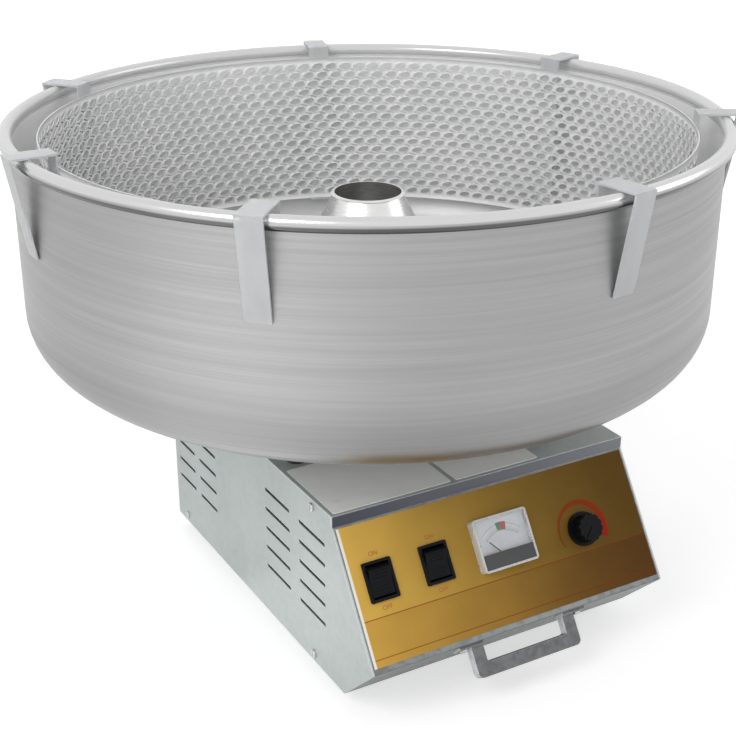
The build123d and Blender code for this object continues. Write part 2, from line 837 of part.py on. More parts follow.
def hub_set_screw():
    start = shaft_radius + 2 * running_gap
    length = hub_radius - start
    socket = Pos(0, 0, length / 2) * Cylinder(screw_radius / 2, screw_radius)
    bar = Cylinder(screw_radius - hole_gap, length) - socket
    return Pos(start + length / 2, 0, head_base_z - hub_height / 2) * Rot(0, 90, 0) * bar


def mica_rings():
    return [
        ring(head_radius - mica_margin, ribbon_radius - mica_inset, z, z + mica) - stud_holes(z, z + mica)
        for z in (head_base_z + head_base, head_flange_z - mica)
    ]


def heater_ribbon():
    """The slotted heating band that melts and throws the sugar."""
    z0, z1 = head_base_z + head_base + mica, head_flange_z - mica
    step = 360.0 / ribbon_slots
    slot = Box(6 * ribbon_wall, ribbon_slot_width, z1 - z0 - 2 * ribbon_edge)
    slot = Pos(ribbon_radius, 0, (z0 + z1) / 2) * slot
    strip = ring(ribbon_radius, ribbon_radius - ribbon_wall, z0, z1)
    return strip - [Rot(0, 0, step * i) * slot for i in range(ribbon_slots)]


def head_studs():
    length = head_flange_top - head_base_z + nut_stack(stud_radius)
    one = Rot(180, 0, 0) * screw(length, stud_radius, 2 * stud_radius, 2)
    return [Pos(x, y, head_base_z) * one for x, y in polar(stud_circle, stud_count, 45)]


def head_nuts():
    return [Pos(x, y, head_flange_top) * nut(stud_radius) for x, y in polar(stud_circle, stud_count, 45)]


def heater_terminals():
    z0, z1 = head_base_z - terminal_reach, head_base_z + head_base + terminal_reach
    return [disc(terminal_radius, z0, z1, x, y) for x, y in polar(terminal_circle, 2)]


def terminal_bushes():
    """Insulators that hold the two terminals in the base plate."""
    z0, z1 = head_base_z, head_base_z + head_base
    bore, outer = terminal_radius + hole_gap, terminal_radius + terminal_bush - hole_gap
    collar, foot = outer + terminal_bush, z0 - terminal_bush
    outline = [(bore, foot), (collar, foot), (collar, z0), (outer, z0), (outer, z1), (bore, z1)]
    return [Pos(x, y, 0) * turned(outline) for x, y in polar(terminal_circle, 2)]


# ---- Drive ----
def drive_shaft():
    shaft = disc(shaft_radius, shaft_bottom_z, shaft_top_z)
    return chamfer(shaft.edges(), 0.8)


def bearing(z):
    """Outer and inner race with a ball track, drawn as one ring with grooved faces."""
    body = ring(bearing_radius, shaft_radius + running_gap, z, z + bearing_width)
    faces = (z, z + bearing_width - race_groove)
    return body - [ring(bearing_radius - race, shaft_radius + race, low, low + race_groove) for low in faces]


def motor_vents(z, depth):
    """The air slots that go through a motor casting or the plate under it."""
    vent = Pos(motor_vent_circle, 0, z) * extrude(SlotOverall(*motor_vent), depth)
    return [Rot(0, 0, 45 + 360.0 / motor_vent_count * i) * vent for i in range(motor_vent_count)]


def end_bell(z, seat_z):
    """A motor end casting with a bearing seat."""
    body = disc(motor_radius, z, z + bell_height)
    seat = disc(bearing_radius + running_gap, seat_z, seat_z + bearing_width)
    bore = disc(shaft_radius + bell_clearance, z, z + bell_height)
    return body - seat - bore - motor_vents(z, bell_height)


def lower_bell():
    return end_bell(motor_z, motor_z + bell_height - bearing_width)


def upper_bell():
    body = end_bell(upper_bell_z, upper_bell_z)
    x, low = holder_middle(), motor_top - holder_screw
    holes = [disc(screw_radius, low, motor_top, x, y) for y in holder_screw_ys()]
    return body - holes


def motor_shell():
    return ring(motor_radius, motor_radius - motor_shell_wall, shell_z, upper_bell_z)


def stator():
    outer, bore = motor_radius - motor_shell_wall - running_gap, rotor_radius + air_gap
    return ring(outer, bore, stator_z, stator_z + stator_height)


def stator_windings():
    outer, bore = motor_radius - motor_shell_wall - winding_inset, rotor_radius + winding_inset
    lows = (stator_z - winding_height, stator_z + stator_height)
    return [ring(outer, bore, low, low + winding_height) for low in lows]


def rotor():
    return ring(rotor_radius, shaft_radius + running_gap, stator_z, stator_z + stator_height)


def motor_mount_plate():
    side = motor_plate_size / 2
    plate = block(-side, side, -side, side, motor_plate_z, motor_z)
    holes = [disc(mount_bolt_radius + hole_gap, motor_plate_z, motor_z, x, y) for x, y in mount_places()]
    bore = disc(shaft_radius + bell_clearance, motor_plate_z, motor_z)
    return plate - bore - holes - motor_vents(motor_plate_z, motor_plate)


def motor_isolators():
    bore, wide = mount_bolt_radius + hole_gap, isolator_radius
    middle = (isolator_radius - isolator_waist, floor_z + isolator_height / 2)
    outline = [(bore, floor_z), (wide, floor_z), (wide, floor_z + isolator_collar), middle,
               (wide, motor_plate_z - isolator_collar), (wide, motor_plate_z), (bore, motor_plate_z)]
    return [Pos(x, y, 0) * turned(outline) for x, y in mount_places()]


def motor_bolts():
    length = motor_z - cabinet_bottom + nut_stack(mount_bolt_radius)
    one = Rot(180, 0, 0) * screw(length, mount_bolt_radius, *motor_bolt_head)
    return [Pos(x, y, cabinet_bottom) * one for x, y in mount_places()]


def motor_nuts():
    return [Pos(x, y, motor_z) * nut(mount_bolt_radius) for x, y in mount_places()]


def motor_fan():
    """A flat disc with radial blades under it, on the shaft's lower end."""
    z0 = floor_z + (isolator_height - fan_height) / 2
    z1 = z0 + fan_height
    hub = disc(shaft_radius + fan_hub, z0, z1)
    back = disc(fan_radius, z1 - fan_disc, z1)
    start, wide = shaft_radius + fan_hub / 2, blade_thickness / 2
    blade = block(start, fan_radius, -wide, wide, z0, z1 - fan_disc)
    blades = [Rot(0, 0, 360.0 / fan_blades * i) * blade for i in range(fan_blades)]
    return hub + back + blades - disc(shaft_radius + running_gap, z0, z1)


# ---- Slip rings and brushes ----
def slip_ring_zs():
    first = slip_z + (slip_hub_height - slip_ring_spacing - slip_ring_height) / 2
    return [first, first + slip_ring_spacing]


def brush_zs():
    return [z + slip_ring_height / 2 for z in slip_ring_zs()]


def slip_ring_hub():
    return ring(slip_hub_radius, shaft_radius + running_gap, slip_z, slip_z + slip_hub_height)


def slip_rings():
    bore = slip_hub_radius + running_gap
    return [ring(slip_ring_radius, bore, z, z + slip_ring_height) for z in slip_ring_zs()]


def holder_middle():
    return holder_x + holder_length / 2


def holder_screw_ys():
    reach = (holder_width + holder_ear[1]) / 2
    return (-reach, reach)


def brush_holder():
    """An insulating block on the motor with a pocket for each brush."""
    wide = holder_width / 2
    body = block(holder_x, holder_x + holder_length, -wide, wide, motor_top, slip_z + slip_hub_height)
    ear_wide, ear_long, ear_thick = holder_ear
    ears = Box(ear_wide, holder_width + 2 * ear_long, ear_thick)
    ears = Pos(holder_middle(), 0, motor_top + ear_thick / 2) * ears
    slack = brush_size / 2 + hole_gap
    end = slip_ring_radius + seat_gap + brush_length + spring_length
    pockets = [block(0, end, -slack, slack, z - slack, z + slack) for z in brush_zs()]
    holes = [disc(screw_radius + hole_gap, motor_top, motor_top + ear_thick, holder_middle(), y)
             for y in holder_screw_ys()]
    return body + ears - pockets - holes


def holder_screws():
    one = screw(holder_screw, screw_radius - hole_gap)
    return [Pos(holder_middle(), y, motor_top + holder_ear[2]) * one for y in holder_screw_ys()]


def brushes():
    start = slip_ring_radius + seat_gap
    h = brush_size / 2
    return [block(start, start + brush_length, -h, h, z - h, z + h) for z in brush_zs()]


def brush_springs():
    start = slip_ring_radius + seat_gap + brush_length
    tube = extrude(Circle(spring_radius) - Circle(spring_radius / 2), spring_length)
    return [Pos(start, 0, z) * Rot(0, 90, 0) * tube for z in brush_zs()]


# ---- Switches ----
def body_width():
    return rocker_width + 2 * rocker_gap + 2 * switch_wall


def body_length():
    return 2 * (rocker_radius + rocker_gap + switch_wall)


def switch_body(x):
    """The bezel and the box behind it, hollow where the rocker swings."""
    bezel = Pos(0, 0, bezel_height / 2 + overlay_thickness) * Box(bezel_width, bezel_length, bezel_height)
    bezel = fillet(bezel.edges().filter_by(Axis.Z), bezel_corner)
    width, length = body_width() - 2 * hole_gap, body_length() - 2 * hole_gap
    box = block(-width / 2, width / 2, -length / 2, length / 2, -switch_depth, overlay_thickness)
    cavity = rocker_radius + rocker_gap
    wide = rocker_width / 2 + rocker_gap
    pivot = Pos(0, 0, rocker_pivot_z) * Rot(0, 90, 0)
    swing = pivot * Cylinder(cavity, 2 * wide)
    opening = block(-wide, wide, -cavity, cavity, rocker_pivot_z, 2 * bezel_height)
    sockets = pivot * Cylinder(pivot_radius + running_gap, 2 * (wide + pivot_length))
    thick, deep, out = terminal_blade
    blades = [Pos(0, y, -switch_depth - out / 2) * Box(deep, thick, out) for y in blade_ys]
    return on_panel(x, switch_s) * (bezel + box + blades - swing - opening - sockets)


def rocker(x):
    """A seesaw key with round ends about its pivot, at rest tilted to the off side."""
    reach, root = rocker_radius, -rocker_radius * rocker_root
    rise = rocker_pivot_depth + rocker_rise
    climb = tan(radians(rocker_tilt))
    lift = rise + reach * climb
    wedge = polygon([(-reach, root), (reach, root), (reach, lift), (0, rise), (-reach, lift)])
    key = extrude(Plane.YZ * (wedge & Circle(rocker_radius)), rocker_width / 2, both=True)
    rib = Box(rocker_width - 2 * rib_inset, rib_size, rib_size)
    steps = [rib_start + rib_pitch * i for i in range(rib_count)]
    ribs = [
        Pos(0, sign * y, rise + y * climb) * Rot(sign * rocker_tilt, 0, 0) * rib
        for sign in (-1, 1) for y in steps
    ]
    pin_length = rocker_width + 2 * (rocker_gap + pivot_length - hole_gap)
    pins = Rot(0, 90, 0) * Cylinder(pivot_radius, pin_length)
    return on_panel(x, switch_s, rocker_pivot_z) * Rot(rocker_tilt, 0, 0) * (key - ribs + pins)


# ---- Voltmeter ----
def meter_place(height=0.0):
    return on_panel(meter_x, meter_s, overlay_thickness + height)


def dial_z():
    return meter_front - lens_thickness - dial_drop - dial_thickness


def meter_case():
    """The clear-edged case, open at the front for the lens, with the movement's round back."""
    shell = Pos(0, 0, meter_front / 2) * Box(meter_width, meter_length, meter_front)
    shell = fillet(shell.edges().filter_by(Axis.Z), meter_corner)
    wide, long = meter_width - 2 * meter_wall, meter_length - 2 * meter_wall
    inside = Pos(0, 0, meter_front) * Box(wide, long, 2 * (meter_front - dial_z()))
    back = Pos(0, 0, -meter_depth) * extrude(Circle(meter_round), meter_depth)
    radius, length = meter_stud
    stud = extrude(Circle(radius), length)
    studs = [Pos(x, 0, -meter_depth - length) * stud for x in (-meter_stud_x, meter_stud_x)]
    socket = Pos(*needle_centre(), dial_z()) * Cylinder(needle_pin + running_gap, 2 * needle_seat + 2)
    return meter_place() * (shell + back + studs - inside - socket)


def dial_size():
    return meter_width - 2 * meter_wall - 2 * hole_gap, meter_length - 2 * meter_wall - 2 * hole_gap


def needle_centre():
    """Where the needle turns, in the meter's own x and y."""
    return 0.0, cover_strip / 2 - meter_length / 2 + meter_wall


def meter_dial():
    wide, long = dial_size()
    plate = Pos(0, 0, dial_z() + dial_thickness / 2) * Box(wide, long, dial_thickness)
    hole = Pos(*needle_centre(), dial_z()) * Cylinder(needle_hub, 4 * dial_thickness)
    return meter_place() * (plate - hole)


def meter_lens():
    wide, long = dial_size()
    plate = Box(wide, long - cover_strip, lens_thickness)
    plate = fillet(plate.edges().filter_by(Axis.Z), meter_corner / 3)
    return meter_place() * Pos(0, cover_strip / 2, meter_front - lens_thickness / 2) * plate


def meter_strip():
    """The blank cover over the needle's pivot."""
    wide, long = dial_size()
    y = -long / 2 + cover_strip / 2 - hole_gap / 2
    plate = Pos(0, y, meter_front - lens_thickness / 2) * Box(wide, cover_strip - hole_gap, lens_thickness)
    return meter_place() * plate


def meter_needle():
    """A thin pointer on its pin, at rest turned to the left end of the scale."""
    z0 = dial_z() + dial_thickness + 2 * seat_gap
    foot = dial_z() - needle_seat
    pin = Pos(0, 0, foot) * extrude(Circle(needle_pin), z0 - foot)
    hub = Pos(0, 0, z0) * extrude(Circle(needle_hub), 2 * needle_thickness)
    arm = Box(needle_width, needle_length + needle_tail, needle_thickness)
    arm = Pos(0, (needle_length - needle_tail) / 2, z0 + needle_thickness / 2) * arm
    return meter_place() * Pos(*needle_centre(), 0) * Rot(0, 0, needle_rest) * (pin + hub + arm)


# ---- Heat control ----
def heat_control():
    """The variable control behind the panel, with a threaded bush through it."""
    side, back = control_size / 2, -sheet - control_depth
    body = block(-side, side, -side, side, back, -sheet)
    bush = Pos(0, 0, -sheet) * extrude(Circle(bush_radius), sheet + overlay_thickness + bush_reach)
    thick, deep, out = terminal_blade
    blades = [Pos(x, 0, back - out / 2) * Box(thick, deep, out) for x in control_blade_xs]
    bore = extrude(Circle(control_shaft_radius + running_gap), control_depth)
    return on_panel(knob_x, knob_s) * (body + bush + blades - Pos(0, 0, -sheet - control_depth / 2) * bore)


def control_nut():
    radius, height = bush_nut
    ring_nut = extrude(RegularPolygon(radius, 6) - Circle(bush_radius + hole_gap), height)
    return on_panel(knob_x, knob_s, overlay_thickness) * ring_nut


def heat_knob():
    """A fluted knob with a pointer groove, hollow over the nut, with its shaft."""
    z0 = overlay_thickness + knob_lift
    skirt = extrude(Circle(knob_radius), knob_skirt)
    grip_radius = knob_radius - knob_step
    grip = extrude(Circle(grip_radius), knob_height)
    flute = extrude(Circle(flute_radius), knob_height)
    places = polar(grip_radius + flute_offset, knob_flutes, 180.0 / knob_flutes)
    body = skirt + (grip - [Pos(x, y, knob_skirt) * flute for x, y in places])
    body = chamfer(body.faces().sort_by(Axis.Z)[-1].outer_wire().edges(), knob_chamfer)
    pointer = Pos(0, grip_radius / 2, knob_height) * Box(knob_groove, grip_radius, knob_groove)
    hollow = extrude(Circle(bush_nut[0] + 2 * seat_gap), knob_hollow)
    low, high = -sheet - control_depth / 3, knob_hollow + knob_groove
    shaft = Pos(0, 0, low) * extrude(Circle(control_shaft_radius), high - low)
    knob = body - pointer - hollow + shaft
    return on_panel(knob_x, knob_s, z0) * Rot(0, 0, knob_rest) * knob


# ---- Electrical parts on the bottom plate ----
def capacitor_z():
    return floor_z + capacitor_radius + hole_gap + clip_band


def motor_capacitor():
    can = Rot(90, 0, 0) * Cylinder(capacitor_radius, capacitor_length)
    return Pos(capacitor_x, capacitor_y, capacitor_z()) * fillet(can.edges(), can_corner)


def capacitor_saddle():
    """The screwed-down band over the capacitor."""
    x, y = capacitor_x, capacitor_y
    z, wide = capacitor_z(), saddle_width / 2
    outer = capacitor_radius + hole_gap + clip_band
    reach = outer + saddle_foot
    wrap = Pos(x, y, z) * Rot(90, 0, 0) * Cylinder(outer, saddle_width)
    foot = block(x - reach, x + reach, y - wide, y + wide, floor_z, floor_z + clip_band)
    walls = block(x - outer, x + outer, y - wide, y + wide, floor_z, z)
    hollow = Pos(x, y, z) * Rot(90, 0, 0) * Cylinder(capacitor_radius + hole_gap, 2 * saddle_width)
    return wrap + walls + foot - hollow


def terminal_block():
    """A row of screw terminals with barriers between them."""
    x, y = block_x, block_y
    long, wide, high = block_size
    body = block(x - long / 2, x + long / 2, y - wide / 2, y + wide / 2, floor_z, floor_z + high)
    way = long / block_ways
    pocket = Box(way - 2 * block_barrier, wide, high / 2)
    pockets = [
        Pos(x - long / 2 + way * (i + 0.5), y, floor_z + high * 0.75) * pocket
        for i in range(block_ways)
    ]
    return body - pockets


def terminal_screws():
    x, y = block_x, block_y
    long, wide, high = block_size
    way = long / block_ways
    one = screw(seat_gap, *block_screw)
    return [
        Pos(x - long / 2 + way * (i + 0.5), y + side * wide / 4, floor_z + high / 2 + seat_gap) * one
        for i in range(block_ways) for side in (-1, 1)
    ]


def panel_point(x, s, height):
    """The same place as on_panel, as bare coordinates."""
    out = (slope[1], -slope[0])
    return (x, panel_top[0] + s * slope[0] + height * out[0], panel_top[1] + s * slope[1] + height * out[1])


def lead(start, turn, way):
    """One insulated wire from a tag behind the panel, along the floor, into a way of the terminal block."""
    long, wide, high = block_size
    x = block_x - long / 2 + long / block_ways * (way + 0.5)
    z = floor_z + high / 2 + wire_radius + hole_gap
    aisle = cover_front_y + 3 * flange + wire_pitch * way
    end = (x, block_y - wide / 2 + wire_end, z)
    points = [start, turn, (turn[0], turn[1], z), (turn[0], aisle, z), (x, aisle, z), end]
    path = FilletPolyline(*points, radius=wire_bend)
    return sweep(Plane(origin=path @ 0, z_dir=path % 0) * Circle(wire_radius), path)


def wiring():
    """The leads from the switches, the meter and the heat control to the terminal block."""
    switch_end = -switch_depth - terminal_blade[2] - hole_gap
    meter_end = -meter_depth - meter_stud[1] - hole_gap + overlay_thickness
    control_end = -sheet - control_depth - terminal_blade[2] - hole_gap
    tags = [
        (switch_xs[0], switch_s, switch_end), (switch_xs[1], switch_s, switch_end),
        (meter_x - meter_stud_x, meter_s, meter_end), (meter_x + meter_stud_x, meter_s, meter_end),
        (knob_x, knob_s, control_end),
    ]
    return [
        lead(panel_point(x, s, h), panel_point(x, s, h - 2 * wire_bend), way)
        for way, (x, s, h) in enumerate(tags)
    ]


# ---- Every piece by name ----
def pieces():
    return {
        "left_side_panel": side_panel(-1),
        "right_side_panel": side_panel(1),
        "back_panel": back_panel(),
        "bottom_plate": bottom_plate(),
        "top_cover": top_cover(),
        "control_panel": control_panel(),
        "chin_panel": chin_panel(),
        "panel_overlay": panel_overlay(),
        "cabinet_screws": side_screws() + handle_screws() + shroud_screws(),
        "handle": handle(),
        "feet": feet(),
        "foot_bolts": foot_screws() + foot_nuts(),
        "label_plate_left": label_plate(plate_a_corner, plate_a_size),
        "label_plate_right": label_plate(plate_b_corner, plate_b_size),
        "label_strip": label_strip(),
        "cord_gland": [cord_gland(), gland_ring_nut()],
        "support_posts": support_posts(),
        "post_washers": post_washers(),
        "post_pads": post_pads(),
        "post_bolts": post_screws() + post_nuts(),
        "air_shroud": air_shroud(),
        "bowl": bowl(),
        "floss_net": floss_net(),
        "net_clips": net_clips(),
        "head_cap": head_cap(),
        "head_base_plate": head_base_plate(),
        "hub_set_screw": hub_set_screw(),
        "head_insulators": mica_rings() + terminal_bushes(),
        "heater_ribbon": heater_ribbon(),
        "head_bolts": head_studs() + head_nuts(),
        "heater_terminals": heater_terminals(),
        "drive_shaft": drive_shaft(),
        "motor_bearings": [bearing(motor_z + bell_height - bearing_width), bearing(upper_bell_z)],
        "motor_end_bells": [lower_bell(), upper_bell()],
        "motor_shell": motor_shell(),
        "stator": [stator()] + stator_windings(),
        "rotor": rotor(),
        "motor_mount_plate": motor_mount_plate(),
        "motor_isolators": motor_isolators(),
        "motor_bolts": motor_bolts() + motor_nuts(),
        "motor_fan": motor_fan(),
        "slip_ring_hub": slip_ring_hub(),
        "slip_rings": slip_rings(),
        "brush_holder": [brush_holder()] + holder_screws(),
        "brushes": brushes() + brush_springs(),
        "power_switch_body": switch_body(switch_xs[0]),
        "power_rocker": rocker(switch_xs[0]),
        "heat_switch_body": switch_body(switch_xs[1]),
        "heat_rocker": rocker(switch_xs[1]),
        "meter_case": meter_case(),
        "meter_dial": meter_dial(),
        "meter_lens": meter_lens(),
        "meter_strip": meter_strip(),
        "meter_needle": meter_needle(),
        "heat_control": [heat_control(), control_nut()],
        "heat_knob": heat_knob(),
        "motor_capacitor": motor_capacitor(),
        "capacitor_saddle": capacitor_saddle(),
        "terminal_block": [terminal_block()] + terminal_screws(),
        "wiring": wiring(),
    }


def write_all():
    os.makedirs("parts", exist_ok=True)
    for name, shape in pieces().items():
        solids = shape if isinstance(shape, list) else [shape]
        flat = [solid for item in solids for solid in item.solids()]
        export_step(flat[0] if len(flat) == 1 else Compound(label=name, children=flat), f"parts/{name}.step")


write_all()
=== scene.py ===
import bpy
import json
from math import cos, pi, radians, sin
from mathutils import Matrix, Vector


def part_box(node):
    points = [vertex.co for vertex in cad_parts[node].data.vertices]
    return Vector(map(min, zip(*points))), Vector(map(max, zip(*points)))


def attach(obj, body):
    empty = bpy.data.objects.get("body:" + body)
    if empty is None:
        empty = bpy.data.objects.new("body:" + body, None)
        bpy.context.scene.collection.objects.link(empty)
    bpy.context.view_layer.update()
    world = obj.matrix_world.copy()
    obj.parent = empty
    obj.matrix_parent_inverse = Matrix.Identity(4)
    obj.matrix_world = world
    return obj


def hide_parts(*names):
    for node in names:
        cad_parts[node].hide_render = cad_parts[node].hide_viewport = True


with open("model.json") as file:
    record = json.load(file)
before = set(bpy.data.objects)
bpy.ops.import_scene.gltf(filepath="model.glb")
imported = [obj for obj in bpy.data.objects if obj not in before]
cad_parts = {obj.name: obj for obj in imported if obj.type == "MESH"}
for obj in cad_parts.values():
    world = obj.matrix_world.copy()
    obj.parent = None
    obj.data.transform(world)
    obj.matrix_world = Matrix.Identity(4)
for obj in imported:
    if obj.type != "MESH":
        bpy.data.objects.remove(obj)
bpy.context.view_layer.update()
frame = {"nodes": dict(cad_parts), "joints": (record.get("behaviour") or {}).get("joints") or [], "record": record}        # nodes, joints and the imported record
nodes = frame["nodes"]
mm = 0.001

# ---- Places on the control panel, read from the frame ----
joints = {joint["name"]: joint for joint in frame["joints"]}
inward = Vector(joints["heat_knob_turn"]["axis"])
down_slope = Vector((0.0, inward.z, -inward.y))
knob_centre = Vector(joints["heat_knob_turn"]["pos_m"])
needle_pivot = Vector(joints["meter_needle_swing"]["pos_m"])
overlay_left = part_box("panel_overlay")[0].x
bowl_low, bowl_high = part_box("bowl")
bead_radius = 6.3 * mm       # of the bowl's rolled rim


def in_scene(name, data):
    """A new object of the scene that shows data."""
    made = bpy.data.objects.new(name, data)
    bpy.context.scene.collection.objects.link(made)
    return made


# ---- Materials ----
class Paint:
    """One procedural material. Each short method adds nodes and gives back the socket to use next."""

    def __init__(self, name):
        self.material = bpy.data.materials.new(name)
        self.material.use_nodes = True
        self.tree = self.material.node_tree
        self.shader = self.tree.nodes["Principled BSDF"]
        self.place = self.add("ShaderNodeTexCoord").outputs["Object"]

    def add(self, kind, **settings):
        node = self.tree.nodes.new(kind)
        for key, value in settings.items():
            setattr(node, key, value)
        return node

    def feed(self, socket, value):
        """An output is linked to the socket, and a plain number or colour is set on it."""
        if isinstance(value, bpy.types.NodeSocket):
            self.tree.links.new(value, socket)
        else:
            socket.default_value = value

    def set(self, **sockets):
        for key, value in sockets.items():
            self.feed(self.shader.inputs[key.replace("_", " ")], value)

    def math(self, operation, first, second=0.0, third=0.0):
        node = self.add("ShaderNodeMath", operation=operation)
        for socket, value in zip(node.inputs, (first, second, third)):
            self.feed(socket, value)
        return node.outputs[0]

    def vector(self, operation, first, second):
        node = self.add("ShaderNodeVectorMath", operation=operation)
        self.feed(node.inputs[0], first)
        self.feed(node.inputs[1], second)
        return node.outputs["Value" if operation == "DOT_PRODUCT" else "Vector"]

    def length(self, first, second):
        """How long a flat arrow with these two parts is."""
        squares = self.math("MULTIPLY", first, first), self.math("MULTIPLY", second, second)
        return self.math("SQRT", self.math("ADD", *squares))

    def facing(self):
        """The direction that the surface faces."""
        return self.add("ShaderNodeNewGeometry").outputs["Normal"]

    def axes(self, vector=None):
        node = self.add("ShaderNodeSeparateXYZ")
        self.feed(node.inputs[0], vector or self.place)
        return node.outputs

    def join(self, x, y, z):
        node = self.add("ShaderNodeCombineXYZ")
        for socket, value in zip(node.inputs, (x, y, z)):
            self.feed(socket, value)
        return node.outputs[0]

    def noise(self, size, stretch=(1.0, 1.0, 1.0), detail=3.0, vector=None):
        """Noise from 0 to 1 with spots about size metres across, times stretch along each axis."""
        mapping = self.add("ShaderNodeMapping")
        self.feed(mapping.inputs["Vector"], vector or self.place)
        mapping.inputs["Scale"].default_value = [1 / (size * share) for share in stretch]
        texture = self.add("ShaderNodeTexNoise")
        self.feed(texture.inputs["Vector"], mapping.outputs[0])
        texture.inputs["Scale"].default_value = 1.0
        texture.inputs["Detail"].default_value = detail
        return texture.outputs[0]

    def remap(self, value, low, high, start=0.0, end=1.0):
        """value between low and high, moved to between start and end, and held there."""
        node = self.add("ShaderNodeMapRange")
        for socket, number in zip(node.inputs, (value, low, high, start, end)):
            self.feed(socket, number)
        return node.outputs[0]

    def mix(self, share, first, second):
        """A colour between first and second."""
        node = self.add("ShaderNodeMix", data_type="RGBA")
        for index, value in ((0, share), (6, full(first)), (7, full(second))):
            self.feed(node.inputs[index], value)
        return node.outputs[2]

    def band(self, value, centre, half, soft):
        """1 where value is within half of centre, falling to 0 over soft."""
        away = self.math("ABSOLUTE", self.math("SUBTRACT", value, centre))
        return self.remap(away, half, half + soft, 1.0, 0.0)

    def bump(self, height, depth, normal=None):
        node = self.add("ShaderNodeBump")
        node.inputs["Distance"].default_value = depth
        self.feed(node.inputs["Height"], height)
        if normal is not None:
            self.feed(node.inputs["Normal"], normal)
        return node.outputs[0]

    def rounded(self, radius):
        """The normal of softened edges, and 1 where an edge is."""
        bevel = self.add("ShaderNodeBevel", samples=4)
        bevel.inputs["Radius"].default_value = radius
        turn = self.vector("DOT_PRODUCT", bevel.outputs[0], self.facing())
        return bevel.outputs[0], self.remap(turn, 0.98, 0.86)


def full(colour):
    """A colour with its alpha, or the socket that it comes from."""
    return colour if isinstance(colour, bpy.types.NodeSocket) else (*colour[:3], 1.0)


def shade(colour, share):
    return tuple(min(1.0, part * share) for part in colour)


def surface(name, colour, rough, tone=0.08, blotch=0.03, grain=0.0006, depth=0.02 * mm,
            stretch=(1.0, 1.0, 1.0), edge=0.4 * mm, edge_wear_and_highlight=1.25, **sockets):
    """A finish with soft blotches, fine grain and paler edges, part wear and part painted highlight. Other
    keywords are shader sockets.
    """
    paint = Paint(name)
    patches = paint.noise(blotch)
    fine = paint.noise(grain, stretch)
    tint = paint.mix(paint.remap(patches, 0.3, 0.7), shade(colour, 1 - tone), shade(colour, 1 + tone))
    tint = paint.mix(paint.remap(fine, 0.35, 0.65, 0.0, tone), tint, shade(colour, 0.5))
    normal, edges = paint.rounded(edge)
    uneven = paint.remap(patches, 0.3, 0.7, rough * 0.9, rough * 1.12)
    # Edges painted paler: part wear, part painted highlight.
    paint.set(
        Base_Color=paint.mix(edges, tint, shade(colour, edge_wear_and_highlight)),
        Roughness=uneven,
        Normal=paint.bump(fine, depth, normal),
        **sockets,
    )
    return paint.material


def turned_metal(name, colour, rough, ring, band_size, inside=1.0, dull=0.0, tone=0.10, depth=0.03 * mm,
                 finish=None):
    """Metal spun or turned about the Z axis, with fine rings.

    inside is the share of the colour on faces that look towards the axis: painted light where above 1,
    painted shade where below 1. dull is how much less metallic they are. finish changes the colour, the
    roughness and the bump by height.
    """
    paint = Paint(name)
    x, y, z = paint.axes()
    radius = paint.length(x, y)
    round_x = paint.math("DIVIDE", x, radius)
    round_y = paint.math("DIVIDE", y, radius)
    along = paint.join(round_x, round_y, paint.math("ADD", radius, z))
    rings = paint.noise(1.0, (1.6, 1.6, ring), 2.0, along)
    bands = paint.noise(1.0, (0.9, 0.9, band_size), 3.0, along)
    stains = paint.noise(0.16, (1.0, 1.0, 0.5))
    tint = paint.mix(paint.remap(bands, 0.35, 0.65), shade(colour, 1 - tone), shade(colour, 1 + tone))
    tint = paint.mix(paint.remap(rings, 0.3, 0.7, 0.0, 0.35), tint, shade(colour, 1 - 2 * tone))
    tint = paint.mix(paint.remap(stains, 0.4, 0.75, 0.0, 0.30), tint, shade(colour, 0.86))
    outward = paint.vector("DOT_PRODUCT", paint.facing(), paint.join(round_x, round_y, 0.0))
    inner = paint.remap(outward, 0.0, -0.3)
    # Faces that look towards the axis take the inside share: painted light in the bowl, painted shade in the
    # head.
    tint = paint.mix(inner, tint, shade(colour, inside))
    roughness = paint.remap(rings, 0.3, 0.7, rough * 0.85, rough * 1.15)
    height = paint.math("ADD", rings, paint.math("MULTIPLY", bands, 0.6))
    if finish:
        tint, roughness, height = finish(paint, z, inner, tint, roughness, height)
    tangent = paint.add("ShaderNodeTangent", direction_type="RADIAL", axis="Z")
    paint.set(
        Base_Color=tint,
        Roughness=roughness,
        Metallic=paint.remap(inner, 0.0, 1.0, 1.0, 1.0 - dull) if dull else 1.0,
        Anisotropic=0.5,
        Tangent=tangent.outputs[0],
        Normal=paint.bump(height, depth),
    )
    return paint.material


